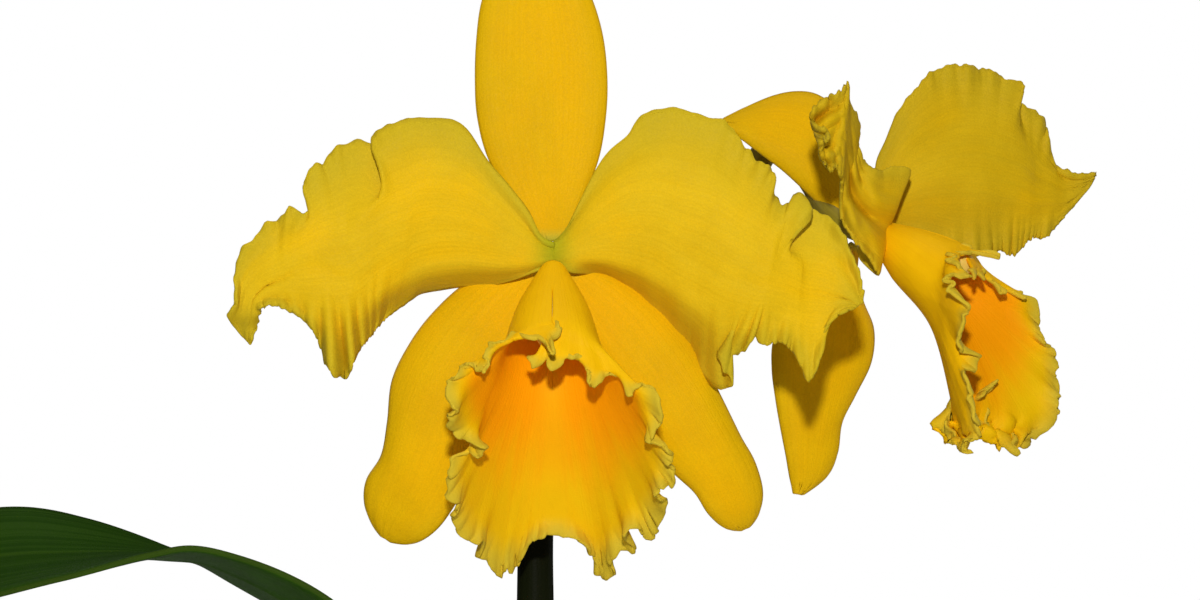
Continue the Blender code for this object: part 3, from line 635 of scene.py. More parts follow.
def sepal_relief(seed, swell):
    """Light fluting along the length over a swell, the margins turned back a little."""

    def relief(u, v):
        flutes = 0.12 * ripple(u * 22, v * 1.5, seed)
        turned_back = -1.8 * (abs(2 * u - 1)) ** 4 * smooth_step(0, 0.2, v)
        return swell * crown(u, v) + turned_back + flutes + 0.5 * waves(u, v, seed, (2, 3))

    return relief


def sepal(name, centre, rows, swell, seed):
    relief = sepal_relief(seed, swell)
    made = blade(f"{name}_fine", centre, rows, (36, 120), SEPAL_WALL * MM, relief, crinkle=0.0, seed=seed)
    return declare(made, name, SEPAL)


sepal("front_dorsal_sepal", FRONT, DORSAL_SEPAL, -1.5, 11)
sepal("front_left_lateral_sepal", FRONT, LEFT_LATERAL_SEPAL, 1.8, 12)
sepal("front_right_lateral_sepal", FRONT, RIGHT_LATERAL_SEPAL, 1.8, 13)

# %% [markdown]
# ## Lip
# The lip is one petal rolled into a tube round the column. Its two edges meet in a seam on top, then
# part, and the mouth flares into a broad waved skirt. It is laid over rings in the lip's own millimetres.
# The last ring is the margin itself, with its folds; the ring before it is the margin's broad sweep, so
# the folds run a little way in. The seam's two sides are merged along the tube and left apart at the
# mouth, where one overlaps the other.

# %% Lip rings
LIP_PITCH = math.radians(41)
LIP_FOOT = Vector((0, 2.9, -5.1))
# forward and up of the top, forward and up of the keel, half width, how far the sides stand forward
TUBE_RINGS = [(-1.5, 2.2, -1.5, -2.6, 2.2, 0), (10, 4.0, 8.5, -9.5, 7.5, 0.5), (20, 4.3, 20, -18, 11.5, 3)]
# the mouth's margin seen from the front: right, up, and how far it leans towards the viewer
RIGHT_MARGIN = [
    (-4.8, -23.2, -1), (-4.5, -25.2, -1), (-1.5, -23.9, -1), (-0.4, -25.6, -0.6), (3.1, -23.4, -0.4),
    (5.5, -22.4, 0), (8.6, -25.5, 0), (7.9, -28.6, 0.6), (9, -30.1, 1.2), (10.8, -27.5, 0),
    (13, -26.6, 0), (16.1, -28.6, 0), (16.5, -31.4, 0.8), (18, -29.9, 0), (20, -29, 0), (22.7, -31, 0),
    (23.6, -35.4, 0), (23.1, -38.7, 0), (21.3, -40.3, 0.4), (20.6, -42, 1), (24.2, -41.9, 0.6),
    (26, -44.4, 0), (25.1, -46.4, 0.5), (26.4, -48.4, 0), (26, -51.3, 0), (23.6, -51.6, 0.8),
    (22.9, -53, 0.8), (25.1, -55.9, 0), (22.7, -60.5, 0), (21.8, -63.1, 0), (17.4, -61.2, 1),
    (15.4, -62.2, 1), (17.8, -66.8, 0), (14.1, -67.3, 0), (12.5, -69.3, 0), (13.4, -71.6, 0),
    (11.2, -73.2, 0), (9.6, -72.0, 0), (9.6, -69.2, 0), (7.4, -66.2, 0), (4.0, -63.6, 0), (0, -62.9, 0),
]
LEFT_MARGIN = [
    (0, -62.9, 0), (-3.2, -63.6, 0), (-5.4, -65.0, 0), (-7.8, -69.3, 0.6), (-8.8, -71.2, 0),
    (-10.2, -70.6, 0), (-11.6, -72.6, 0), (-14.2, -70.9, 0), (-16.9, -68.2, 0), (-15.2, -65.4, 1),
    (-19.1, -63.6, 0), (-21.4, -60.6, 0), (-22.4, -57.8, 0), (-20.2, -56.2, 0.8), (-22.6, -52.6, 0),
    (-22.8, -48.6, 0), (-21.6, -46.0, 0), (-18.4, -44.8, 0.4), (-15.2, -44.6, 1), (-14.0, -42.2, 1),
    (-17.4, -42.0, 0.6), (-20.6, -40.8, 0), (-22.3, -38.2, 0), (-22.2, -35.8, 0), (-20.6, -34.4, 0.5),
    (-22.6, -31.2, 0), (-22.2, -27.6, 0), (-20.2, -27.4, 0.5), (-19.6, -25, 0), (-17.6, -23.9, 0),
    (-15.8, -25.8, 0.8), (-13.9, -26.4, 1.4), (-14.4, -22.6, 0), (-13.2, -20.1, 0), (-10.4, -20, 0.6),
    (-8.1, -18.1, 0), (-5.4, -19.5, 1), (-2.2, -19.6, 1.2), (0.4, -22.9, 1.6), (0.3, -18.8, 1.4),
    (2.2, -17, 1.4), (0.5, -15.4, 0.6),
]


def into_lip(x, towards, z):
    """A place in the front flower's millimetres as the lip's own right, forward and up."""
    towards, z = towards - LIP_FOOT.y, z - LIP_FOOT.z
    forward = towards * math.cos(LIP_PITCH) - z * math.sin(LIP_PITCH)
    return Vector((x, forward, towards * math.sin(LIP_PITCH) + z * math.cos(LIP_PITCH)))


def mouth_depth(x, z):
    """How far towards the viewer the mouth stands: most at its top, least at its lowest point."""
    drop = z + 20.6
    plane = min(25 - 0.6 * drop, 27.2 + 0.741 * drop)
    return plane + 9.3 * (x / 21.5) ** 2 * smooth_step(-2, -14, drop)


def tube_point(ring, angle):
    top_f, top_u, keel_f, keel_u, half, stand = ring
    c, s = math.cos(angle), math.sin(angle)
    forward = (top_f + keel_f) / 2 + (top_f - keel_f) / 2 * c + stand * s * s
    return Vector((half * s, forward, (top_u + keel_u) / 2 + (top_u - keel_u) / 2 * c))


def margin_place(side, t):
    """A margin point and the broad sweep behind it; a fold that dips inwards also leans forwards."""
    middle = Vector((0, -42, 0))
    point, broad = through(side, t), eased(side, t, 0.075)
    dip = (broad - point).dot((broad - middle).normalized())
    depth = mouth_depth(point.x, point.y) + point.z + 0.9 * dip
    fold = into_lip(point.x, depth, point.y)
    return fold, into_lip(broad.x, mouth_depth(broad.x, broad.y), broad.y)

# %% [markdown]
# ## Shaping a lip
# Every line from foot to margin passes through the tube, the flare and the folded margin, and gets finer
# frills near its end. The side flower's lip is the same shape, drawn forwards and curled under below,
# where it ends in a frilled tuft.

# %% Lip maker
def lip_shape(cells):
    """place(u, v) for a lip in its own millimetres; u goes round from the top seam, v from foot to margin."""
    sides = [[Vector(p) for p in RIGHT_MARGIN], [Vector(p) for p in LEFT_MARGIN]]

    @lru_cache(maxsize=None)
    def rings(u):
        angle = 2 * math.pi * u
        tube = [tube_point(ring, angle) for ring in TUBE_RINGS]
        fold, broad = margin_place(sides[0], 2 * u) if u <= 0.5 else margin_place(sides[1], 2 * u - 1)
        flare = tube[-1].lerp(broad, 0.5)
        skirt = tube[-1].lerp(broad, 0.82) + (fold - broad) * 0.22
        return [*tube, flare, skirt, fold]

    def place(u, v):
        point = through(rings(round(u, 5)), v)
        near = smooth_step(0.78, 1, v)
        ridges = smooth_step(0.7, 0.95, v) * smooth_step(0.02, 0.1, abs(u - 0.5))
        point.y += 1.6 * ridges * ripple(u * 26, v * 2, 2)
        frilled = near * (1 + 0.9 * smooth_step(0.3, 0.1, abs(u - 0.5)))
        point.y += 1.9 * near * ripple(u * 70, v * 3, 4)
        point.z += 1.2 * frilled * ripple(u * 84, v * 3, 9)
        point.x += 0.9 * frilled * ripple(u * 150, v * 3, 14)
        point.y += 0.9 * frilled * ripple(u * 170, v * 3, 19)
        return point

    return place


DRAW_LEVEL, DRAW = -8, 0.42
TUFT_DEPTH = 3.2


def curled(point, from_drop, radius):
    """Draws a lip's lower half forwards, then rolls the part below a level back under into a frilled tuft."""
    drawn = Vector((point.x, point.y + DRAW * max(0, DRAW_LEVEL - point.z), point.z))
    extra = -from_drop - point.z
    if extra <= 0:
        return drawn
    turn = extra / radius
    tuft = smooth_step(0, 10, extra) * TUFT_DEPTH
    aside = Vector((5, 0, 0))
    lump = Vector((noise.noise(point * 0.33), noise.noise(point * 0.3 + aside), noise.noise(point * 0.36)))
    inwards = 1 - 0.3 * smooth_step(0, 12, extra)
    backwards, downwards = radius * (1 - math.cos(turn)), radius * math.sin(turn)
    rolled = Vector((drawn.x * inwards, drawn.y - backwards, -from_drop - downwards))
    return rolled + lump * tuft


LIP_THICKNESS, LIP_EDGE = 0.9, 0.22


def lip(name, foot, axes, cells, bend=None):
    """A lip standing at foot, its forward, up and right along the axes."""
    shape = lip_shape(cells)
    forward, up, right = axes

    def place(u, v):
        point = shape(u, v)
        if bend:
            point = bend(point)
        return foot + (right * point.x + forward * point.y + up * point.z) * MM

    return thicken(laid_grid(name, cells, place), LIP_THICKNESS * MM, LIP_EDGE)


def flower_axes(yaw, pitch):
    """Forward out of the flower, up and right, for a flower turned to the right and nodding."""
    forward = Vector((math.sin(yaw) * math.cos(pitch), -math.cos(yaw) * math.cos(pitch), -math.sin(pitch)))
    up = Vector((math.sin(yaw) * math.sin(pitch), -math.cos(yaw) * math.sin(pitch), math.cos(pitch)))
    return forward, up, Vector((math.cos(yaw), math.sin(yaw), 0))


FRONT_AXES = flower_axes(0, LIP_PITCH)
SIDE_AXES = flower_axes(math.radians(60), math.radians(20))
FRONT_LIP_FOOT = from_flower(FRONT, LIP_FOOT)
SIDE_LIP_FOOT = SIDE + (SIDE_AXES[0] * 2.4 + SIDE_AXES[1] * 1.4) * MM

# %% [markdown]
# ## Both lips
# Both flowers carry the same lip, set along each flower's own directions. The side one is a little
# smaller and is the one that curls.

# %% Both lips
front_lip = lip("front_lip_fine", FRONT_LIP_FOOT, FRONT_AXES, (520, 70))
declare(front_lip, "front_lip", LIP)
SIDE_LIP_SIZE, CURL_LEVEL, CURL_RADIUS = 0.94, 28, 8.5


def side_bend(point):
    return curled(point * SIDE_LIP_SIZE, CURL_LEVEL, CURL_RADIUS)


side_lip = lip("side_lip_fine", SIDE_LIP_FOOT, SIDE_AXES, (520, 70), side_bend)
declare(side_lip, "side_lip", LIP)

# %% [markdown]
# ## Side flower
# The side flower is turned sixty degrees to the right. Its near petal is seen almost end on, crumpled
# into lobes; its far petal spreads like a fan with a folded corner and a long pointed tip. Its sepals
# hang behind, one of them below in the shade of the front flower. They are laid the same way as the front
# ones.

# %% Side petals
# Painted shade: the side petals take the front petals' paint made darker all over, for a flower turned away
# from the light.
SIDE_PETAL_SHADED = petal_paint(
    "side_petal_yellow_painted_shade",
    (0.76, 0.49, 0.008), (0.62, 0.38, 0.003), (0.46, 0.37, 0.02), (0.42, 0.42, 0.05), 90, 0.4,
)
SIDE_FAR_PETAL = [
    (2.9, -2.7, 3.3, 0.9, -3.9, -3.3),
    (1.8, -3, 11, 5, -4.4, 0.4),
    (1.6, -3.2, 16.7, 8, -5, 1.2),
    (3.9, -3.6, 22.2, 10.2, -5.4, 1.2),
    (6.5, -4.4, 28.5, 13.4, -6, 0.2),
    (10.2, -5.4, 33.4, 16.4, -7, -1.2),
    (13.9, -6.6, 37.5, 18.6, -7.6, -2.8),
    (17.6, -8, 39.4, 21, -8.4, -4.4),
    (21.8, -9.4, 40.1, 24, -9.6, -5.0),
    (25.7, -10.8, 39.4, 27, -11, -4.8),
    (29.4, -12, 38.7, 29.6, -12, -4.4),
    (32.9, -12.4, 36.9, 31.4, -12.8, -3.4),
    (37.0, -12, 35.9, 33, -13.6, -4.3),
    (36.0, -13.4, 33.2, 34.2, -14.2, -4.4),
    (34.7, -16, 32.2, 35.6, -14.8, -4.2),
    (38.2, -16.4, 30.4, 37, -15.4, -2.6),
    (41.9, -16.8, 28.2, 38.6, -16, -1),
    (43.2, -17.6, 24.6, 40.2, -16.6, -0.4),
    (43.8, -18.4, 20.4, 42, -17.2, -0.5),
    (44.6, -19.2, 17.4, 44, -18, 0.8),
    (48.6, -19.8, 15.2, 46.6, -18.8, 4),
    (52, -20.6, 14.9, 49.4, -19.8, 7),
    (54.6, -21, 15, 52.2, -20.6, 10.4),
    (54.8, -21, 14.6, 53.8, -21, 12.8),
]
SIDE_NEAR_PETAL = [
    (-1, 3.9, 3.3, -2.9, 2.7, -3.3),
    (3.5, 6, 9, -2.5, 5, -6),
    (8.6, 8, 14.5, 0.6, 8, -9.2),
    (4.6, 10, 15.6, 0.8, 12, -8.9),
    (1.2, 12, 14.4, -1.8, 14, -5),
    (-2.4, 14, 16.6, -5.2, 16, -1),
    (-4.0, 17, 21.2, -7.6, 17, 3),
    (-3.8, 19, 25, -8, 18, 7.5),
    (-6.8, 22, 30, -8.2, 20, 11.5),
    (-7.2, 24, 33.5, -8.8, 22, 12.8),
    (-9.2, 25, 31.4, -9.8, 23, 14.6),
    (-12.4, 26, 30, -10.8, 24, 13.8),
    (-15.5, 27, 27, -11.9, 25, 14.6),
    (-14.6, 28, 24, -12.9, 26, 16),
    (-12.2, 28, 22.6, -13.6, 27, 18),
    (-11.9, 28.4, 20.4, -13.2, 28, 18.8),
]


def far_relief(u, v):
    flutes = 0.35 * ripple(u * 26, v * 2, 21) * smooth_step(0.1, 0.5, v)
    ridge = 1.6 * groove(u, 0.62, 0.14) * smooth_step(0.05, 0.35, v) * smooth_step(1.0, 0.7, v)
    return 2.0 * crown(u, v) + flutes + ridge + 1.6 * waves(u, v, 22)


def near_relief(u, v):
    pleats = 1.2 * math.sin(u * 26) * smooth_step(0.45, 0.8, v)
    folds = 4.2 * ripple(u * 3.2, v * 5.5, 31) * smooth_step(0.05, 0.3, v)
    creases = 1.8 * ripple(u * 7, v * 13, 33) * smooth_step(0.1, 0.4, v)
    valley = -5.0 * groove(u, 0.55, 0.14) * smooth_step(0.03, 0.14, v) * smooth_step(0.5, 0.3, v)
    lobes = 6.0 * smooth_step(0.35, 0.6, v)
    return pleats * 0.6 + folds + creases + valley + lobes


side_far = blade(
    "side_right_petal_fine", SIDE, SIDE_FAR_PETAL, (44, 180), PETAL_WALL * MM, far_relief, seed=21
)
declare(side_far, "side_right_petal", SIDE_PETAL_SHADED)
side_near = blade(
    "side_left_petal_fine", SIDE, SIDE_NEAR_PETAL, (60, 160), PETAL_WALL * MM, near_relief,
    sweep=0.05, seed=31,
)
declare(side_near, "side_left_petal", SIDE_PETAL_SHADED)

# %% [markdown]
# ## Side sepals
# The upper one points up to the left behind the near petal. Of the lower two, the nearer hangs beside the
# front flower and the farther is mostly hidden. They are laid like the front ones.

# %% Side sepals
SIDE_DORSAL_SEPAL = [
    (-0.9, -3.5, 4.9, -3.5, -1.4, 4.9),
    (-0.6, -6.5, 13, -7.4, -3.4, 5.0),
    (-3.3, -10.5, 22, -10.6, -6, 6.6),
    (-6.2, -13, 29, -13.2, -8, 9.2),
    (-10.9, -15, 33, -17.1, -9, 13),
    (-15.7, -16, 34, -20.5, -9.5, 16),
    (-21.5, -16, 33, -24.5, -10, 19),
    (-28.5, -15, 30, -29, -11, 22.6),
    (-33.8, -12.5, 27.0, -33.2, -11.5, 25.6),
]
SIDE_NEAR_LATERAL_SEPAL = [
    (-6.8, 0.3, -0.8, -4.6, -0.9, -2.6),
    (-12.5, 2, -8, -3.2, -1, -9),
    (-18.5, 3, -16, -1.5, -2, -15.5),
    (-22.3, 3, -24, 1.0, -3, -22),
    (-22.8, 3, -31, 0.4, -3, -29.5),
    (-21.8, 2, -38.5, -3.2, -3, -37),
    (-20.6, 1, -45, -6.4, -3, -43.5),
    (-19.4, 0, -51, -7.4, -3, -50.5),
    (-18.3, -2, -56.5, -9.8, -4, -56),
    (-17.2, -3, -60.2, -15.8, -4, -60.3),
]
SIDE_FAR_LATERAL_SEPAL = [
    (-4.2, -3.9, -1.8, -2.2, -5.6, -2.8),
    (-9, -12, -6, -3, -14, -12),
    (-14, -20, -11, -6, -22, -21),
    (-18, -27, -17, -9.5, -29, -28),
    (-20.5, -33, -24, -13, -35, -33),
    (-20.6, -37.5, -29.5, -16.5, -38.5, -34.6),
]
sepal("side_dorsal_sepal", SIDE, SIDE_DORSAL_SEPAL, 1.2, 14)
sepal("side_left_lateral_sepal", SIDE, SIDE_NEAR_LATERAL_SEPAL, 1.4, 15)
sepal("side_right_lateral_sepal", SIDE, SIDE_FAR_LATERAL_SEPAL, 1.0, 16)

# %% [markdown]
# ## Round stems
# The flower stem, both flower stalks, the columns, the roots and the creeping rhizome are all round stems
# along a curve. A skin is laid round the curve, its cross directions carried along so it never twists,
# and both ends are rounded off to a point. A shape function gives each its own ridges and rings.

# %% Stem maker
CAP_ROWS = 4


def stem(name, route, radii, cells, shape=None):
    """A closed round stem. shape(angle, t) scales its radius."""
    around, along = cells
    spots = [through(route, k / along) for k in range(along + 1)]
    length = sum((b - a).length for a, b in zip(spots, spots[1:]))
    first, last = radii[0] / length, radii[-1] / length
    bends = [math.pi / 2 * k / CAP_ROWS for k in range(CAP_ROWS)]
    cap = [(1 - math.cos(bend), math.sin(bend)) for bend in bends]
    rows = [(first * out, share) for out, share in cap]
    rows += [(first + (1 - first - last) * k / along, 1) for k in range(along + 1)]
    rows += [(1 - last * out, share) for out, share in reversed(cap)]
    carried = Vector((0.3, 0.2, 1)).cross(spots[1] - spots[0]).normalized()
    frames = []
    for t, share in rows:
        way = (through(route, min(t + 0.01, 1)) - through(route, max(t - 0.01, 0))).normalized()
        carried = (carried - way * carried.dot(way)).normalized()
        frames.append((through(route, t), carried.copy(), way.cross(carried), through(radii, t) * share, t))

    def place(u, v):
        centre, side, up, radius, t = frames[round(v * (len(rows) - 1))]
        angle = 2 * math.pi * u
        if shape:
            radius *= shape(angle, t)
        return centre + (side * math.cos(angle) + up * math.sin(angle)) * radius

    return laid_grid(name, (around, len(rows) - 1), place)


# %% [markdown]
# ## Flower stem and stalks
# The stem is olive painted nearly black, darkest at its top: painted shade from the flowers above it.
# It is faintly ridged and swollen at the joint where both stalks leave.
# The stalks turn from dark olive to yellow green towards the flowers, so their paint follows the length.

# %% Stem paints
def stem_paint(name, foot, top, spot_colour, roughness, specular):
    """A stem's paint: one colour at the foot going to another at the top, with fine lengthwise streaks."""
    made, tree, shader = new_paint(name, roughness, specular)
    skin = use_group(tree, tissue)
    lines = use_group(tree, veins, (("Count", 14),))
    along = split(tree, uv_of(tree))[1]
    colour = blend(tree, remap(tree, along, 0.1, 0.95), foot, top)
    colour = tint(tree, colour, lines["Veins"], 0.35, spot_colour)
    colour = tint(tree, colour, skin["Mottle"], 0.3, spot_colour)
    tree.links.new(colour, shader.inputs["Base Color"])
    bump(tree, shader, maths(tree, "ADD", skin["Cells"], lines["Veins"]), 0.25, 0.00015)
    return made


# Painted shade: the green stem is painted nearly black, darkest towards its top, for the shadow the flowers
# throw on it.
PEDUNCLE_SHADED_PAINT = stem_paint(
    "stem_painted_shade",
    (0.020, 0.034, 0.008), (0.004, 0.004, 0.001), (0.006, 0.006, 0.002), roughness=0.5, specular=0.04,
)
STALK = stem_paint(
    "stalk_olive",
    (0.07, 0.06, 0.010), (0.38, 0.30, 0.020), (0.12, 0.08, 0.010), roughness=0.45, specular=0.2,
)

# %% [markdown]
# ## Laying the stem and stalks
# The stem runs from the sheath up to the joint. Each stalk starts a little beside its top, thickens into
# the ovary and bends round to the back of its flower.

# %% Flower stem and stalks
bulb_top = Vector((STEM_TOP.x, STEM_TOP.y, stem_low.z - 0.3 * MM))
peduncle_route = [Vector((STEM_TOP.x, STEM_TOP.y, stem_low.z)).lerp(STEM_TOP, k / 6) for k in range(7)]
STEM_RADIUS = 4.2
peduncle_girth = [STEM_RADIUS * g * MM for g in (1, 0.98, 1.02, 0.96, 1, 0.97, 1.15)]


def ribbed(count, depth):
    """A stem's shape with faint ribs along it."""
    return lambda angle, t: 1 + depth * math.sin(count * angle)


peduncle = stem("peduncle_fine", peduncle_route, peduncle_girth, (40, 60), ribbed(7, 0.012))
declare(peduncle, "peduncle", PEDUNCLE_SHADED_PAINT)

STALK_RADIUS = 2.1
BESIDE = 2.4


def flower_route(bends):
    return [from_flower(FRONT, Vector(bend)) for bend in bends]


STALK_LIFT = 0.8
stalk_ribs = ribbed(6, 0.03)
front_bends = [(-7, -25.5, -38), (-5.5, -21.5, -24), (-2, -15, -10)]
front_bends += [(0, -9.5, -2.2), (0, -5.5, -0.9), (0, -1.8, -0.9)]
front_route = [STEM_TOP + Vector((-BESIDE, 0, STALK_LIFT)) * MM] + flower_route(front_bends)
front_girth = [g * MM for g in (STALK_RADIUS, 2.3, 2.6, 3.2, 3.4, 2.7, 2.4)]
front_pedicel = stem("front_pedicel_fine", front_route, front_girth, (32, 60), stalk_ribs)
declare(front_pedicel, "front_pedicel", STALK)

side_bends = [(-1.2, -26.5, -43), (4, -29, -35), (15, -38, -26), (31, -52, -13), (41, -63, 0)]
side_bends += [(45.5, -70, 14), (49.5, -73, 24), (56, -70, 24.5), (60.5, -62, 17), (64.5, -52.5, 9.5)]
side_route = [STEM_TOP + Vector((BESIDE, 0, STALK_LIFT)) * MM] + flower_route(side_bends)
side_route += [SIDE - SIDE_AXES[0] * 5 * MM, SIDE + SIDE_AXES[0] * 1.0 * MM]
side_girth = [g * MM for g in (STALK_RADIUS, 2.2, 2.5, 2.8, 2.9, 3.0, 3.2, 3.2, 3.2, 3.2, 3.1, 2.7, 2.4)]
side_pedicel = stem("side_pedicel_fine", side_route, side_girth, (32, 110), stalk_ribs)
declare(side_pedicel, "side_pedicel", STALK)

# %% [markdown]
# ## Columns and anther caps
# Inside each lip, under the seam, lies the column that carries the anther cap: cream, waxy and rounded.
# The column is a short stem; the cap is a dome turned round the column's own direction.

# %% Columns
CREAM, tree, shader = new_paint("column_cream", 0.45, 0.15)
skin = use_group(tree, tissue)
colour = blend(tree, skin["Mottle"], (0.86, 0.66, 0.14), (0.80, 0.55, 0.08))
tree.links.new(colour, shader.inputs["Base Color"])
bump(tree, shader, skin["Cells"], 0.2, 0.0001)

LIP_WALL = 0.75
CAP_RADIUS = 3.04
CAP_GAP = 0.3


def column(flower, foot, axes):
    forward, up, _ = axes
    stations = [(0.6, 3.2, 2.0), (10, 4.0, 2.6), (21, 4.3, 3.2)]
    route = [foot + (forward * f + up * (u - LIP_WALL - r)) * MM for f, u, r in stations]
    body = stem(f"{flower}_column_fine", route, [r * MM for _, _, r in stations], (28, 24))
    declare(body, f"{flower}_column", CREAM)
    ahead = (route[-1] - route[-2]).normalized()
    side = ahead.cross(up).normalized()
    top = route[-1] + ahead * CAP_GAP * MM
    profile = [(0, 1.15), (0.45, 1.0), (0.8, 0.65), (0.98, 0.25), (0.98, 0.05), (0, 0)]

    def place(u, v):
        out, rise = through([Vector((*p, 0)) for p in profile], v).xy
        angle = 2 * math.pi * u
        way = side * math.cos(angle) + up * math.sin(angle)
        ring = way * max(out, 0) * (1 + 0.06 * math.cos(2 * angle))
        return top + (ring + ahead * rise) * CAP_RADIUS * MM

    cap = laid_grid(f"{flower}_anther_cap_fine", (28, 20), place)
    declare(cap, f"{flower}_anther_cap", CREAM)


column("front", FRONT_LIP_FOOT, FRONT_AXES)
column("side", SIDE_LIP_FOOT, SIDE_AXES)

# %% [markdown]
# ## Papery sheaths
# Old sheaths are thin dry paper: straw coloured, streaked brown along their fibres, ragged at the top.
# They wrap the stalks' feet, the stem's foot and each bulb. They are open tubes or small pointed scales
# with their own thin wall, and stand a little off what they wrap.

# %% Paper paint
PAPER, tree, shader = new_paint("dry_sheath", 0.75, 0.15)
skin = use_group(tree, tissue)
lines = use_group(tree, veins, (("Count", 120),))
along = split(tree, uv_of(tree))[1]
colour = blend(tree, skin["Mottle"], (0.50, 0.38, 0.20), (0.36, 0.24, 0.11))
colour = tint(tree, colour, lines["Veins"], 0.7, (0.60, 0.50, 0.31))
colour = tint(tree, colour, lines["Streaks"], 0.5, (0.20, 0.12, 0.055))
colour = blend(tree, remap(tree, along, 0.85, 1.0, 0.0, 0.6), colour, (0.62, 0.55, 0.40))
tree.links.new(colour, shader.inputs["Base Color"])
relief = maths(tree, "ADD", lines["Veins"], maths(tree, "MULTIPLY", skin["Grain"], 0.4))
bump(tree, shader, relief, 0.6, 0.0003)

# %% [markdown]
# ## Spathe and bracts
# The spathe is a slightly flattened open tube round the stem's foot, ragged at the top and longer on one
# side. It starts a little inside the bulb's top, so no gap shows. Each bract is a narrow scale outside a
# stalk's foot.

# %% Spathe and bracts
PAPER_WALL, PAPER_EDGE = 0.5, 0.6
SHEATH_GAP = 0.9
SNUG = STEM_RADIUS + SHEATH_GAP + PAPER_WALL / 2
SPATHE_LENGTH, SPATHE_SINK = 62, 2.0
BRACT_LENGTH = 11


def spathe_place(u, v):
    angle = 2 * math.pi * u
    ragged = 1.6 * ripple(u * 14, 0, 3) * smooth_step(0.8, 1, v)
    reach = SPATHE_LENGTH * (0.9 + 0.1 * math.cos(angle))
    wide = SNUG + 1.0 * math.sin(math.pi * v) + 0.12 * math.sin(9 * angle)
    height = (reach + SPATHE_SINK) * v - SPATHE_SINK + ragged
    ring = Vector((wide * math.cos(angle), SNUG * math.sin(angle), height))
    return Vector((STEM_TOP.x, STEM_TOP.y, stem_low.z)) + ring * MM


spathe = thicken(laid_grid("flower_sheath_fine", (72, 60), spathe_place), PAPER_WALL * MM, PAPER_EDGE)
declare(spathe, "flower_sheath", PAPER)


def bract(name, foot, facing):
    """The small pointed scale on the outer side of a stalk's foot."""

    def place(u, v):
        angle = facing + 1.15 * (1 - 0.82 * v) * (2 * u - 1)
        radius = STALK_RADIUS + SHEATH_GAP + PAPER_WALL / 2 + 2.2 * v + 0.25 * math.sin(math.pi * v)
        return foot + on_ring(radius, angle, SHEATH_GAP + BRACT_LENGTH * v) * MM

    made = thicken(laid_grid(f"{name}_fine", (20, 24), place), PAPER_WALL * MM, PAPER_EDGE)
    declare(made, name, PAPER)


bract("front_bract", STEM_TOP + Vector((-BESIDE, 0, 0)) * MM, math.pi)
bract("side_bract", STEM_TOP + Vector((BESIDE, 0, 0)) * MM, -math.pi / 2)

# %% [markdown]
# ## Leaves
# Each growth carries one strap leaf: thick, leathery, folded along its midrib, dark green above and
# brighter below. The leaf by the flower stem arches to the left and twists once, so its underside shows
# on the way up and its upper face past the twist. A leaf is laid along its route, its face rolled about
# its own length.

# %% Leaf paint
LEAF, tree, shader = new_paint("leaf_skin", 0.5, 0.03)
skin = use_group(tree, tissue)
lines = use_group(tree, veins, (("Count", 46),))
edge = use_group(tree, edges)
across, along, _ = split(tree, uv_of(tree))
behind = add(tree, "ShaderNodeAttribute", attribute_name="back").outputs["Fac"]
colour = blend(tree, behind, (0.014, 0.048, 0.0015), (0.026, 0.085, 0.003))
colour = tint(tree, colour, skin["Mottle"], 0.4, (0.012, 0.034, 0.003))
colour = tint(tree, colour, lines["Veins"], 0.22, (0.05, 0.11, 0.012))
middle = remap(tree, maths(tree, "ABSOLUTE", maths(tree, "SUBTRACT", across, 0.5)), 0.0, 0.03, 0.5, 0.0)
colour = blend(tree, middle, colour, (0.04, 0.09, 0.006))
colour = tint(tree, colour, edge["Rim"], 0.4, (0.06, 0.09, 0.01))
tree.links.new(colour, shader.inputs["Base Color"])
tree.links.new(remap(tree, skin["Grain"], 0.0, 1.0, 0.42, 0.58), shader.inputs["Roughness"])
relief = maths(tree, "ADD", maths(tree, "MULTIPLY", lines["Veins"], 0.6), skin["Grain"])
bump(tree, shader, relief, 0.3, 0.00015)

# %% [markdown]
# ## Laying a leaf
# Across its width a leaf is a shallow valley with a fine groove for its midrib. Its width follows its
# length, and rolling the cross direction as it runs gives the twist.

# %% Leaf maker
LEAF_WALL = 1.8
LEAF_SINK = 2.4


def leaf(name, node, route, width, rolls, folds, side, facing, cells=(28, 150)):
    @lru_cache(maxsize=None)
    def frame_at(v):
        centre = through(route, v)
        step = 0.02
        tangent = (through(route, min(v + step, 1)) - through(route, max(v - step, 0))).normalized()
        face = tangent.cross(side).normalized()
        flat = face.cross(tangent)
        roll = through(rolls, v)
        out = flat * math.cos(roll) + face * math.sin(roll)
        normal = face * math.cos(roll) - flat * math.sin(roll)
        half = width / 2 * through([0.28, 0.62, 0.94, 1, 0.99, 0.9, 0.66, 0.08], v)
        return centre, out, normal, half, through(folds, v)

    def place(u, v):
        centre, out, normal, half, fold = frame_at(round(v, 5))
        s = 2 * u - 1
        valley = fold * math.sqrt(s * s + 0.004) - 0.018 * math.exp(-((s / 0.05) ** 2))
        wavy = 0.03 * s * s * noise.noise(Vector((v * 7, s, len(name))))
        return centre + out * (half * s) + normal * (half * (valley + wavy))

    made = thicken(laid_grid(name, cells, place, facing), LEAF_WALL * MM, 0.35)
    return declare(made, node, LEAF)

# %% [markdown]
# ## Leaf by the flower stem
# Its foot is sunk a little into the bulb's top. It rises to the left, turns over at the twist and hangs
# to its tip.

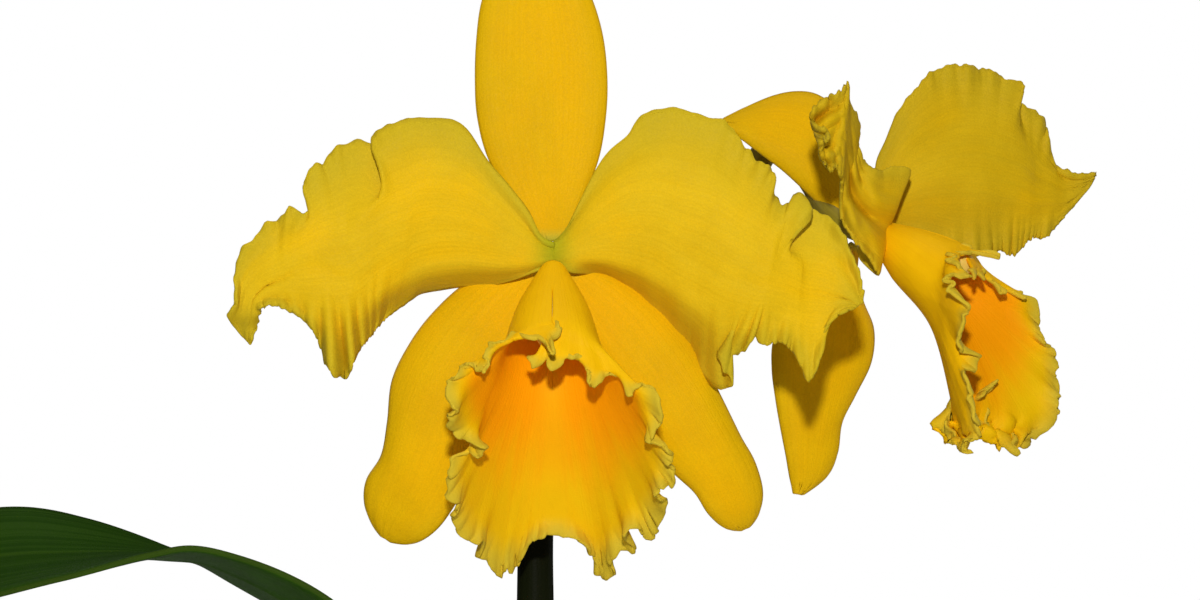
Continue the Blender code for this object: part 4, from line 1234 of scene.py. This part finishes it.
# %% Leaf by the flower stem
leaf_start = bulb_top + Vector((-(5.6 + LEAF_WALL + 1.0), 0, 0.6)) * MM
LEAF_STEPS = [
    (2.6, 0, -LEAF_SINK),
    (-5.5, 0, 21),
    (-19, 1, 47),
    (-41, 2, 67.5),
    (-63, 3, 79.5),
    (-76.5, 4, 81.8),
    (-96, 5, 82),
    (-115.5, 6, 81),
    (-143, 8, 75.6),
    (-167, 10, 67),
    (-185, 12, 54),
]
leaf_route = [leaf_start + Vector(step) * MM for step in LEAF_STEPS]
LEAF_ROLLS = [0.05, 0.12, 0.24, 0.34, 0.24, 0.05, -0.36, -0.68, -0.8, -0.8, -0.75]
LEAF_FOLDS = [0.25, 0.26, 0.14, 0.03, 0.03, 0.10, 0.12, 0.12, 0.10]
toward = Vector((0, -1, 0))
FLOWERING_LEAF_WIDTH, BACK_LEAF_WIDTH = 33, 42
UP = (0, 0, 1)
leaf(
    "flowering_leaf_fine", "flowering_leaf", leaf_route, FLOWERING_LEAF_WIDTH * MM,
    LEAF_ROLLS, LEAF_FOLDS, toward, UP, (28, 200),
)

# %% [markdown]
# ## Leaves of the older growths
# The older leaves fan out behind, each from the top of its own bulb, with the deepest fold at the foot.

# %% Leaves of the older growths
BACK_LEAVES = {
    "back_bulb_1": (
        [(-10, 7, 28), (-28, 20, 58), (-56, 37, 77), (-88, 55, 78), (-116, 71, 62)],
        (-0.5, -0.8, 0),
    ),
    "back_bulb_2": (
        [(1, 12, 30), (3, 31, 58), (4, 60, 76), (2, 94, 78), (-3, 126, 62)],
        (-1, 0, 0),
    ),
    "back_bulb_3": (
        [(9, 9, 22), (29, 22, 42), (60, 38, 55), (95, 54, 54), (128, 69, 38)],
        (-0.5, 0.87, 0),
    ),
}
for bulb, (steps, across_way) in BACK_LEAVES.items():
    foot = end_of(bulb, True) - Vector((0, 0, LEAF_SINK)) * MM
    route = [foot] + [foot + Vector(step) * MM for step in steps]
    folds = [0.5, 0.28, 0.2, 0.12]
    across_way = Vector(across_way)
    leaf(f"{bulb}_leaf_fine", f"{bulb}_leaf", route, BACK_LEAF_WIDTH * MM, [0, 0.1, 0], folds, across_way, UP)

# %% [markdown]
# ## Bulbs
# The stout club-shaped bulbs store water and are grooved lengthwise, more deeply the older and drier they
# are. Each runs from its foot on the rhizome to its leaf, so both ends are taken from the CAD bulb
# itself. The papery sheath follows the same outline a little further out, ragged and longer on one side.

# %% Bulb paint
BULB, tree, shader = new_paint("bulb_skin", 0.42, 0.25)
skin = use_group(tree, tissue)
lines = use_group(tree, veins, (("Count", 60),))
along = split(tree, uv_of(tree))[1]
colour = blend(tree, remap(tree, along, 0.1, 0.9), (0.20, 0.21, 0.055), (0.12, 0.20, 0.035))
colour = tint(tree, colour, skin["Mottle"], 0.6, (0.27, 0.24, 0.07))
colour = tint(tree, colour, lines["Veins"], 0.35, (0.09, 0.12, 0.025))
freckle = remap(tree, noise_at(tree, place_of(tree), 420, 2), 0.66, 0.74, 0.0, 0.7)
colour = blend(tree, freckle, colour, (0.16, 0.08, 0.03))
tree.links.new(colour, shader.inputs["Base Color"])
relief = maths(tree, "ADD", lines["Veins"], skin["Grain"])
bump(tree, shader, relief, 0.4, 0.0003)

# %% [markdown]
# ## Laying the bulbs and sheaths
# The bulb is a grooved stem with a girth that follows its club shape. Its sheath is an open skin laid
# over the same girth, looser towards its torn top.

# %% Bulbs and their sheaths
BULB_GIRTH = [radius * MM for radius in (4, 4.6, 6.84, 9.5, 9.5, 7.0)]
SHEATH_OFF = SHEATH_GAP * MM + PAPER_WALL / 2 * MM
SHEATH_FOOT = 0.03


def grooves(depth, count, seed):
    """Lengthwise grooves, deepest in the middle of the bulb, a little uneven."""

    def shape(angle, t):
        uneven = noise.noise(on_ring(1.3, angle, seed + 2 * t))
        return 1 - depth * math.sin(math.pi * t) ** 0.6 * (0.5 + 0.5 * math.cos(count * angle + 1.5 * uneven))

    return shape


def bulb(name, depth, seed, cover):
    foot, top = end_of(name, False), end_of(name, True)
    route = [foot.lerp(top, k / 4) for k in range(5)]
    body = stem(f"{name}_fine", route, BULB_GIRTH, (80, 90), grooves(depth, 9, seed))
    declare(body, name, BULB)
    axis = top - foot
    turn = Vector((0, 0, 1)).rotation_difference(axis)

    def place(u, v):
        angle = 2 * math.pi * u
        ragged = 0.035 * noise.noise(on_ring(4, angle, seed)) * smooth_step(0.6, 1, v)
        t = SHEATH_FOOT + (cover * (0.86 + 0.14 * math.cos(angle)) - SHEATH_FOOT) * v + ragged
        loose = 0.9 * MM * smooth_step(0.55, 1, v) * (0.5 + noise.noise(on_ring(2, angle, seed)))
        radius = through(BULB_GIRTH, t) + SHEATH_OFF + max(loose, 0) + 0.12 * MM * math.sin(17 * angle)
        return foot + axis * t + turn @ on_ring(radius, angle)

    wrap = thicken(laid_grid(f"{name}_sheath_fine", (120, 60), place), PAPER_WALL * MM, PAPER_EDGE)
    declare(wrap, f"{name}_sheath", PAPER)


bulb("back_bulb_1", 0.20, 41, 0.62)
bulb("back_bulb_2", 0.17, 42, 0.50)
bulb("back_bulb_3", 0.13, 43, 0.66)
bulb("flowering_bulb", 0.08, 44, 0.55)

# %% [markdown]
# ## Rhizome, new shoot and roots
# The rhizome creeps over the bark with a ring at every joint. A new green shoot starts at its growing
# end, wrapped in overlapping scales. The roots are pale grey with a spongy skin, and the one over the rim
# ends in a green tip.

# %% Rhizome and shoot
rhizome_low, rhizome_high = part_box("rhizome")
RHIZOME_HEIGHT = (rhizome_low.z + rhizome_high.z) / 2
RHIZOME_RADIUS = 6.0
RHIZOME_ROUTE = [(-49, 20), (-30, 16), (-11, 8), (8, -1), (30, -8)]


def rhizome_point(t):
    x, y, _ = through([Vector((*p, 0)) for p in RHIZOME_ROUTE], t)
    return Vector((x * MM, y * MM, RHIZOME_HEIGHT))


def joint_rings(angle, t):
    return 1 - 0.05 * math.cos(2 * math.pi * 11 * t) ** 6 - 0.02 * math.sin(5 * angle)


RHIZOME, tree, shader = new_paint("rhizome_skin", 0.6, 0.2)
skin = use_group(tree, tissue)
along = split(tree, uv_of(tree))[1]
colour = blend(tree, along, (0.16, 0.11, 0.045), (0.17, 0.19, 0.05))
colour = blend(tree, skin["Mottle"], colour, (0.09, 0.055, 0.025))
colour = tint(tree, colour, skin["Grain"], 0.4, (0.26, 0.20, 0.10))
tree.links.new(colour, shader.inputs["Base Color"])
bump(tree, shader, skin["Grain"], 0.6, 0.0004)

rhizome_girth = [RHIZOME_RADIUS * g * MM for g in (0.6, 1, 0.9, 1, 0.88, 1, 0.9, 1, 0.75)]
rhizome_spots = [rhizome_point(k / 8) for k in range(9)]
rhizome = stem("rhizome_fine", rhizome_spots, rhizome_girth, (48, 120), joint_rings)
declare(rhizome, "rhizome", RHIZOME)

SHOOT, tree, shader = new_paint("shoot_green", 0.4, 0.25)
skin = use_group(tree, tissue)
lines = use_group(tree, veins, (("Count", 50),))
along = split(tree, uv_of(tree))[1]
colour = blend(tree, along, (0.30, 0.30, 0.10), (0.09, 0.19, 0.025))
colour = tint(tree, colour, lines["Veins"], 0.4, (0.18, 0.27, 0.06))
colour = tint(tree, colour, skin["Mottle"], 0.35, (0.22, 0.13, 0.06))
tree.links.new(colour, shader.inputs["Base Color"])
bump(tree, shader, maths(tree, "ADD", lines["Veins"], skin["Grain"]), 0.4, 0.0002)

SHOOT_RADIUS = 7.0
SHOOT_HEIGHT = 46
shoot_foot = rhizome_point(1) + Vector((1, -1, RHIZOME_RADIUS + 1.0)) * MM
shoot_way = Vector((0.25, -0.12, 1)).normalized()
shoot_route = [shoot_foot + shoot_way * (SHOOT_HEIGHT * k / 6) * MM for k in range(7)]
shoot_girth = [SHOOT_RADIUS * g * MM for g in (0.55, 0.97, 0.93, 0.78, 0.56, 0.32, 0.08)]


def scale_edges(angle, t):
    """Overlapping scales: the skin steps in just past each slanting scale edge."""
    slant = t * 4 + 0.35 * math.cos(angle + math.pi * int(t * 4))
    return 0.9 + 0.1 * (slant - math.floor(slant))


shoot = stem("new_shoot_fine", shoot_route, shoot_girth, (56, 90), scale_edges)
declare(shoot, "new_shoot", SHOOT)

# %% [markdown]
# ## Roots
# Five roots leave the rhizome sideways and dive into the bark. An older one has grown over the rim and
# down the outside of the pot, so its route is worked out from the rim.

# %% Roots
ROOT, tree, shader = new_paint("root_skin", 0.8, 0.15)
skin = use_group(tree, tissue)
along = split(tree, uv_of(tree))[1]
colour = blend(tree, skin["Mottle"], (0.56, 0.56, 0.48), (0.42, 0.42, 0.34))
colour = tint(tree, colour, skin["Grain"], 0.5, (0.68, 0.68, 0.60))
colour = blend(tree, remap(tree, along, 0.86, 0.95), colour, (0.20, 0.33, 0.06))
tree.links.new(colour, shader.inputs["Base Color"])
bump(tree, shader, skin["Grain"], 0.7, 0.0003)

ROOT_RADIUS = 1.8
ROOT_STARTS = [(0.14, 292), (0.44, 62), (0.55, 246), (0.80, 52), (0.90, 262)]
DIVE = [(0, 0), (4, 0), (8.5, -0.5), (12.5, -6), (15, -16), (16, -34)]


def knobbly(angle, t):
    return 1 + 0.06 * noise.noise(on_ring(1, angle, t * 30))


for number, (t, heading) in enumerate(ROOT_STARTS, start=1):
    way = on_ring(1, math.radians(heading))
    start = rhizome_point(t) + way * (RHIZOME_RADIUS + ROOT_RADIUS + 0.6) * MM
    start.z = BARK_TOP + (0.3 + ROOT_RADIUS) * MM
    route = [start + way * out * MM + Vector((0, 0, down * MM)) for out, down in DIVE]
    girth = [ROOT_RADIUS * g * MM for g in (1, 1, 0.9)]
    declare(stem(f"root_{number}_fine", route, girth, (20, 50), knobbly), f"root_{number}", ROOT)

way = Vector((-0.62, 0.785, 0)).normalized()
lift = ROOT_RADIUS + 0.6
bark_mm, pot_mm, rim_mm = BARK_TOP / MM, POT_HEIGHT / MM, POT_RIM / MM
RIM_STEPS = [
    (rim_mm - 40, bark_mm + lift),
    (rim_mm - 22, bark_mm + lift + 2),
    (rim_mm - 11, pot_mm + lift - 1),
    (rim_mm - 3, pot_mm + lift + 1),
    (rim_mm + lift + 1.5, pot_mm - 2),
    (rim_mm + lift + 2, pot_mm - 16),
    (rim_mm + lift + 1, pot_mm - 34),
    (rim_mm + lift - 1, pot_mm - 52),
]
rim_route = [way * out * MM + Vector((0, 0, height * MM)) for out, height in RIM_STEPS]
rim_girth = [ROOT_RADIUS * g * MM for g in (1, 1, 0.7)]
declare(stem("rim_root_fine", rim_route, rim_girth, (24, 110), knobbly), "rim_root", ROOT)

# %% [markdown]
# ## Clay pot
# A thrown terracotta pot: tapered, with a proud band under the rim and four drain holes. Its outline is
# turned into a closed skin, the holes are cut with cylinders, and a bevel breaks every edge as a sponge
# would. The clay is orange, with faint throwing rings and a pale bloom of salts that is stronger towards
# the foot.

# %% Clay paint
CLAY, tree, shader = new_paint("fired_clay", 0.85, 0.15)
spot = place_of(tree)
height = split(tree, spot)[2]
patches = remap(tree, noise_at(tree, spot, 26, 5, 0.62), 0.38, 0.66)
speck = remap(tree, noise_at(tree, spot, 700, 3, 0.6), 0.35, 0.65)
colour = blend(tree, patches, (0.50, 0.20, 0.095), (0.60, 0.28, 0.15))
bloom = remap(tree, noise_at(tree, scaled(tree, spot, (1, 1, 0.6)), 38, 6, 0.68), 0.5, 0.7)
low_down = remap(tree, height, 0.0, POT_HEIGHT, 0.75, 0.25)
colour = tint(tree, colour, bloom, low_down, (0.70, 0.56, 0.46))
colour = tint(tree, colour, speck, 0.25, (0.40, 0.15, 0.07))
tree.links.new(colour, shader.inputs["Base Color"])
ring_place = add(tree, "ShaderNodeCombineXYZ", (("Z", height),)).outputs[0]
rings = noise_at(tree, ring_place, 420, 2)
bump(tree, shader, maths(tree, "ADD", rings, maths(tree, "MULTIPLY", speck, 0.5)), 0.5, 0.0004)

# %% [markdown]
# ## Turning the pot
# One outline of radii and heights is turned into a closed skin, the way a thrower's profile is. The drain
# holes are cut through the floor, and the bevel comes last so that the holes are softened too.

# %% Pot
POT_BASE = 46
POT_FLOOR = 9
POT_WALL = 6
BAND = 22
PROUD = 3


def wall_at(height):
    """The pot's outside radius at a height, without its rim band."""
    return POT_BASE + (rim_mm - PROUD - POT_BASE) * height / pot_mm


POT_OUTLINE = [
    (0, POT_FLOOR),
    (wall_at(POT_FLOOR) - POT_WALL, POT_FLOOR),
    (wall_at(pot_mm) - POT_WALL, pot_mm),
    (wall_at(pot_mm) + PROUD, pot_mm),
    (wall_at(pot_mm - BAND) + PROUD, pot_mm - BAND),
    (wall_at(pot_mm - BAND), pot_mm - BAND),
    (POT_BASE, 0),
    (0, 0),
]


def turned(name, outline, around):
    """A closed skin turned from an outline of radii and heights."""

    def place(u, v):
        out, height = outline[round(v * (len(outline) - 1))]
        return on_ring(out, 2 * math.pi * u, height) * MM

    return laid_grid(name, (around, len(outline) - 1), place)


pot = turned("pot_fine", POT_OUTLINE, 128)
DRAIN_RING = 24
DRAIN_RADIUS = 5
for k in range(4):
    turn = math.pi / 2 * (k + 0.5)
    at = (DRAIN_RING * math.cos(turn) * MM, DRAIN_RING * math.sin(turn) * MM, POT_FLOOR / 2 * MM)
    bpy.ops.object.select_all(action="DESELECT")
    size = {"radius": DRAIN_RADIUS * MM, "depth": 4 * POT_FLOOR * MM}
    bpy.ops.mesh.primitive_cylinder_add(vertices=32, location=at, **size)
    bore = bpy.context.object
    bpy.context.view_layer.objects.active = pot
    hole = pot.modifiers.new("hole", "BOOLEAN")
    hole.operation = "DIFFERENCE"
    hole.object = bore
    bpy.ops.object.modifier_apply(modifier=hole.name)
    bpy.data.objects.remove(bore)
soft = pot.modifiers.new("soft edges", "BEVEL")
soft.width = 1.1 * MM
soft.segments = 3
soft.angle_limit = math.radians(35)
bpy.ops.object.select_all(action="DESELECT")
pot.select_set(True)
bpy.ops.object.modifier_apply(modifier=soft.name)
bpy.ops.object.shade_smooth_by_angle(angle=math.radians(35))
declare(pot, "pot", CLAY)

# %% [markdown]
# ## Bark
# The pot is filled with bark chips: flat, angular, reddish brown, lighter on fresh breaks. A dark bed
# fills the pot, and a few chip shapes are modelled once from cubes and copied many times over it, each
# turned its own way. The chips near the rhizome lie lower and flatter, so it rests on them.

# %% Bark paint
BARK, tree, shader = new_paint("bark", 0.85, 0.12)
spot = place_of(tree)
chip_shade = add(tree, "ShaderNodeAttribute", attribute_name="shade").outputs["Fac"]
fibre = noise_at(tree, scaled(tree, spot, (1, 1, 3)), 260, 5, 0.65)
colour = blend(tree, chip_shade, (0.085, 0.038, 0.018), (0.30, 0.155, 0.075))
colour = blend(tree, remap(tree, fibre, 0.4, 0.65, 0.0, 0.6), colour, (0.15, 0.075, 0.035))
colour = blend(tree, remap(tree, fibre, 0.62, 0.75, 0.0, 0.6), colour, (0.42, 0.27, 0.15))
tree.links.new(colour, shader.inputs["Base Color"])
bump(tree, shader, fibre, 0.9, 0.0012)

# %% [markdown]
# ## Laying the bed and chips
# The bed is turned like the pot and lies just inside its wall. Each chip is a cube, divided once and
# knocked out of true, and its copies are strewn from a fixed seed so the result is the same every time.

# %% Bed and chips
BED_DROP = 6.0
BED_GAP = 0.6
INSIDE = POT_WALL + BED_GAP
bed_top, bed_foot = bark_mm - BED_DROP, POT_FLOOR + 0.4
BED_OUTLINE = [
    (0, bed_top),
    (wall_at(bed_top) - INSIDE, bed_top),
    (wall_at(bed_foot) - INSIDE, bed_foot),
    (0, bed_foot),
]
bed = turned("bark_bed", BED_OUTLINE, 64)
rng = random.Random(7)
KNOCK = 0.13
CHIP_SIZES = [(17, 10, 3.5), (14, 11, 4), (20, 8, 3.5), (11, 9, 4.5), (15, 13, 3), (9, 7, 4)]
shapes = []
for number, size in enumerate(CHIP_SIZES):
    bpy.ops.object.select_all(action="DESELECT")
    bpy.ops.mesh.primitive_cube_add(size=1)
    chip = bpy.context.object
    bpy.ops.object.mode_set(mode="EDIT")
    bpy.ops.mesh.subdivide(number_cuts=1)
    bpy.ops.object.mode_set(mode="OBJECT")
    for vert in chip.data.vertices:
        knock = Vector([rng.uniform(-KNOCK, KNOCK) for _ in range(3)])
        rounding = 1.12 - 0.28 * vert.co.length
        vert.co = Vector([(c * rounding + k) * s * MM for c, k, s in zip(vert.co, knock, size)])
    shapes.append(chip)


CHIP_COUNT = 330
RHIZOME_REACH = 20
INNER = wall_at(bark_mm) - POT_WALL
rhizome_line = [rhizome_point(k / 12) for k in range(13)]
chips = []
for number in range(CHIP_COUNT):
    source = shapes[number % len(shapes)]
    half = max(CHIP_SIZES[number % len(shapes)]) / 2
    out = (INNER - half * 0.8 - 1) * math.sqrt(rng.random())
    turn = rng.uniform(0, 2 * math.pi)
    spot = on_ring(out, turn) * MM
    near = min((spot - Vector((p.x, p.y, 0))).length for p in rhizome_line) / MM
    depth = rng.uniform(-4.6, -0.6) if near > RHIZOME_REACH else rng.uniform(-5.0, -3.4)
    spot.z = (bark_mm + depth) * MM
    tilt = 0.3 if near > RHIZOME_REACH else 0.08
    twist = Euler((rng.uniform(-tilt, tilt), rng.uniform(-tilt, tilt), rng.uniform(0, 6.3)))
    made = bpy.data.objects.new("chip", source.data.copy())
    bpy.context.scene.collection.objects.link(made)
    made.data.transform(Matrix.Translation(spot) @ twist.to_matrix().to_4x4())
    shade = made.data.attributes.new("shade", "FLOAT", "POINT")
    tone = rng.random() ** 1.4
    shade.data.foreach_set("value", [tone] * len(made.data.vertices))
    chips.append(made)
for chip in shapes:
    bpy.data.objects.remove(chip)
bpy.ops.object.select_all(action="DESELECT")
for chip in chips:
    chip.select_set(True)
bpy.context.view_layer.objects.active = chips[0]
bpy.ops.object.join()
bark_chips = bpy.context.object
bark_chips.name = bark_chips.data.name = "bark_chips"
bpy.ops.object.shade_smooth_by_angle(angle=math.radians(28))
declare(bed, "bark_medium", BARK)
declare(bark_chips, "bark_medium", BARK)

# %% [markdown]
# ## Studio
# A plain pale floor and a white surround. The main light is small and stands just above the camera, so
# the shadows of petals on petals are crisp. Two broad ones behind the plant keep the other sides
# readable, with a weak, very broad sun straight overhead. The camera stands level with the flowers, far
# enough away for a calm perspective.

# %% Floor
bpy.ops.object.select_all(action="DESELECT")
bpy.ops.mesh.primitive_plane_add(size=3.0, location=(0, 0, 0))
floor = bpy.context.object
floor.name = "floor"
FLOOR, tree, shader = new_paint("floor_pale", 0.7, 0.2)
cloud = remap(tree, noise_at(tree, place_of(tree), 6, 3), 0.3, 0.7)
tree.links.new(blend(tree, cloud, (0.80, 0.79, 0.77), (0.83, 0.82, 0.80)), shader.inputs["Base Color"])
floor.data.materials.append(FLOOR)

# %% [markdown]
# ## Camera, lights and surround
# The camera's lens is worked out from the width that has to be in view at its distance. The surround is
# white to the eye and gives only a little light, so the shadows stay crisp.

# %% Camera, lights and surround
scene = bpy.context.scene
AIM = FRONT + Vector((10.3, 0, -11)) * MM
DISTANCE = 0.85
FRAME_WIDTH = 0.264
bpy.ops.object.camera_add(location=AIM - Vector((0, DISTANCE, 0)), rotation=(math.pi / 2, 0, 0))
camera = bpy.context.object
camera.data.lens = camera.data.sensor_width * DISTANCE / FRAME_WIDTH
camera.data.clip_start = 0.01
scene.camera = camera


def lamp(name, place, size, power):
    """A square light at a place, aimed at the front flower."""
    bpy.ops.object.light_add(type="AREA", location=place)
    made = bpy.context.object
    made.name = name
    made.data.size = size
    made.data.energy = power
    made.rotation_euler = (Vector(place) - AIM).to_track_quat("Z", "Y").to_euler()
    return made


lamp("key", AIM + Vector((0.0, -0.86, 0.19)), size=0.04, power=5.9)
lamp("back_left", AIM + Vector((-0.9, 1.0, 0.5)), size=0.7, power=2.5)
lamp("back_right", AIM + Vector((1.0, 0.7, 0.4)), size=0.7, power=2.5)
bpy.ops.object.light_add(type="SUN", location=AIM + Vector((0, 0, 1)), rotation=(0, 0, 0))
overhead = bpy.context.object
overhead.name = "overhead"
overhead.data.energy = 0.9
overhead.data.angle = math.radians(40)

surround = bpy.data.worlds.new("surround")
scene.world = surround
surround.use_nodes = True
tree = surround.node_tree
seen = tree.nodes["Background"]
seen.inputs["Color"].default_value = (1, 1, 1, 1)
seen.inputs["Strength"].default_value = 1.0
fill = add(tree, "ShaderNodeBackground", (("Color", (1, 1, 1, 1)), ("Strength", 0.02)))
ray = add(tree, "ShaderNodeLightPath").outputs["Is Camera Ray"]
choice = add(tree, "ShaderNodeMixShader", ((0, ray),))
tree.links.new(fill.outputs[0], choice.inputs[1])
tree.links.new(seen.outputs[0], choice.inputs[2])
tree.links.new(choice.outputs[0], tree.nodes["World Output"].inputs["Surface"])
scene.view_settings.view_transform = "Standard"
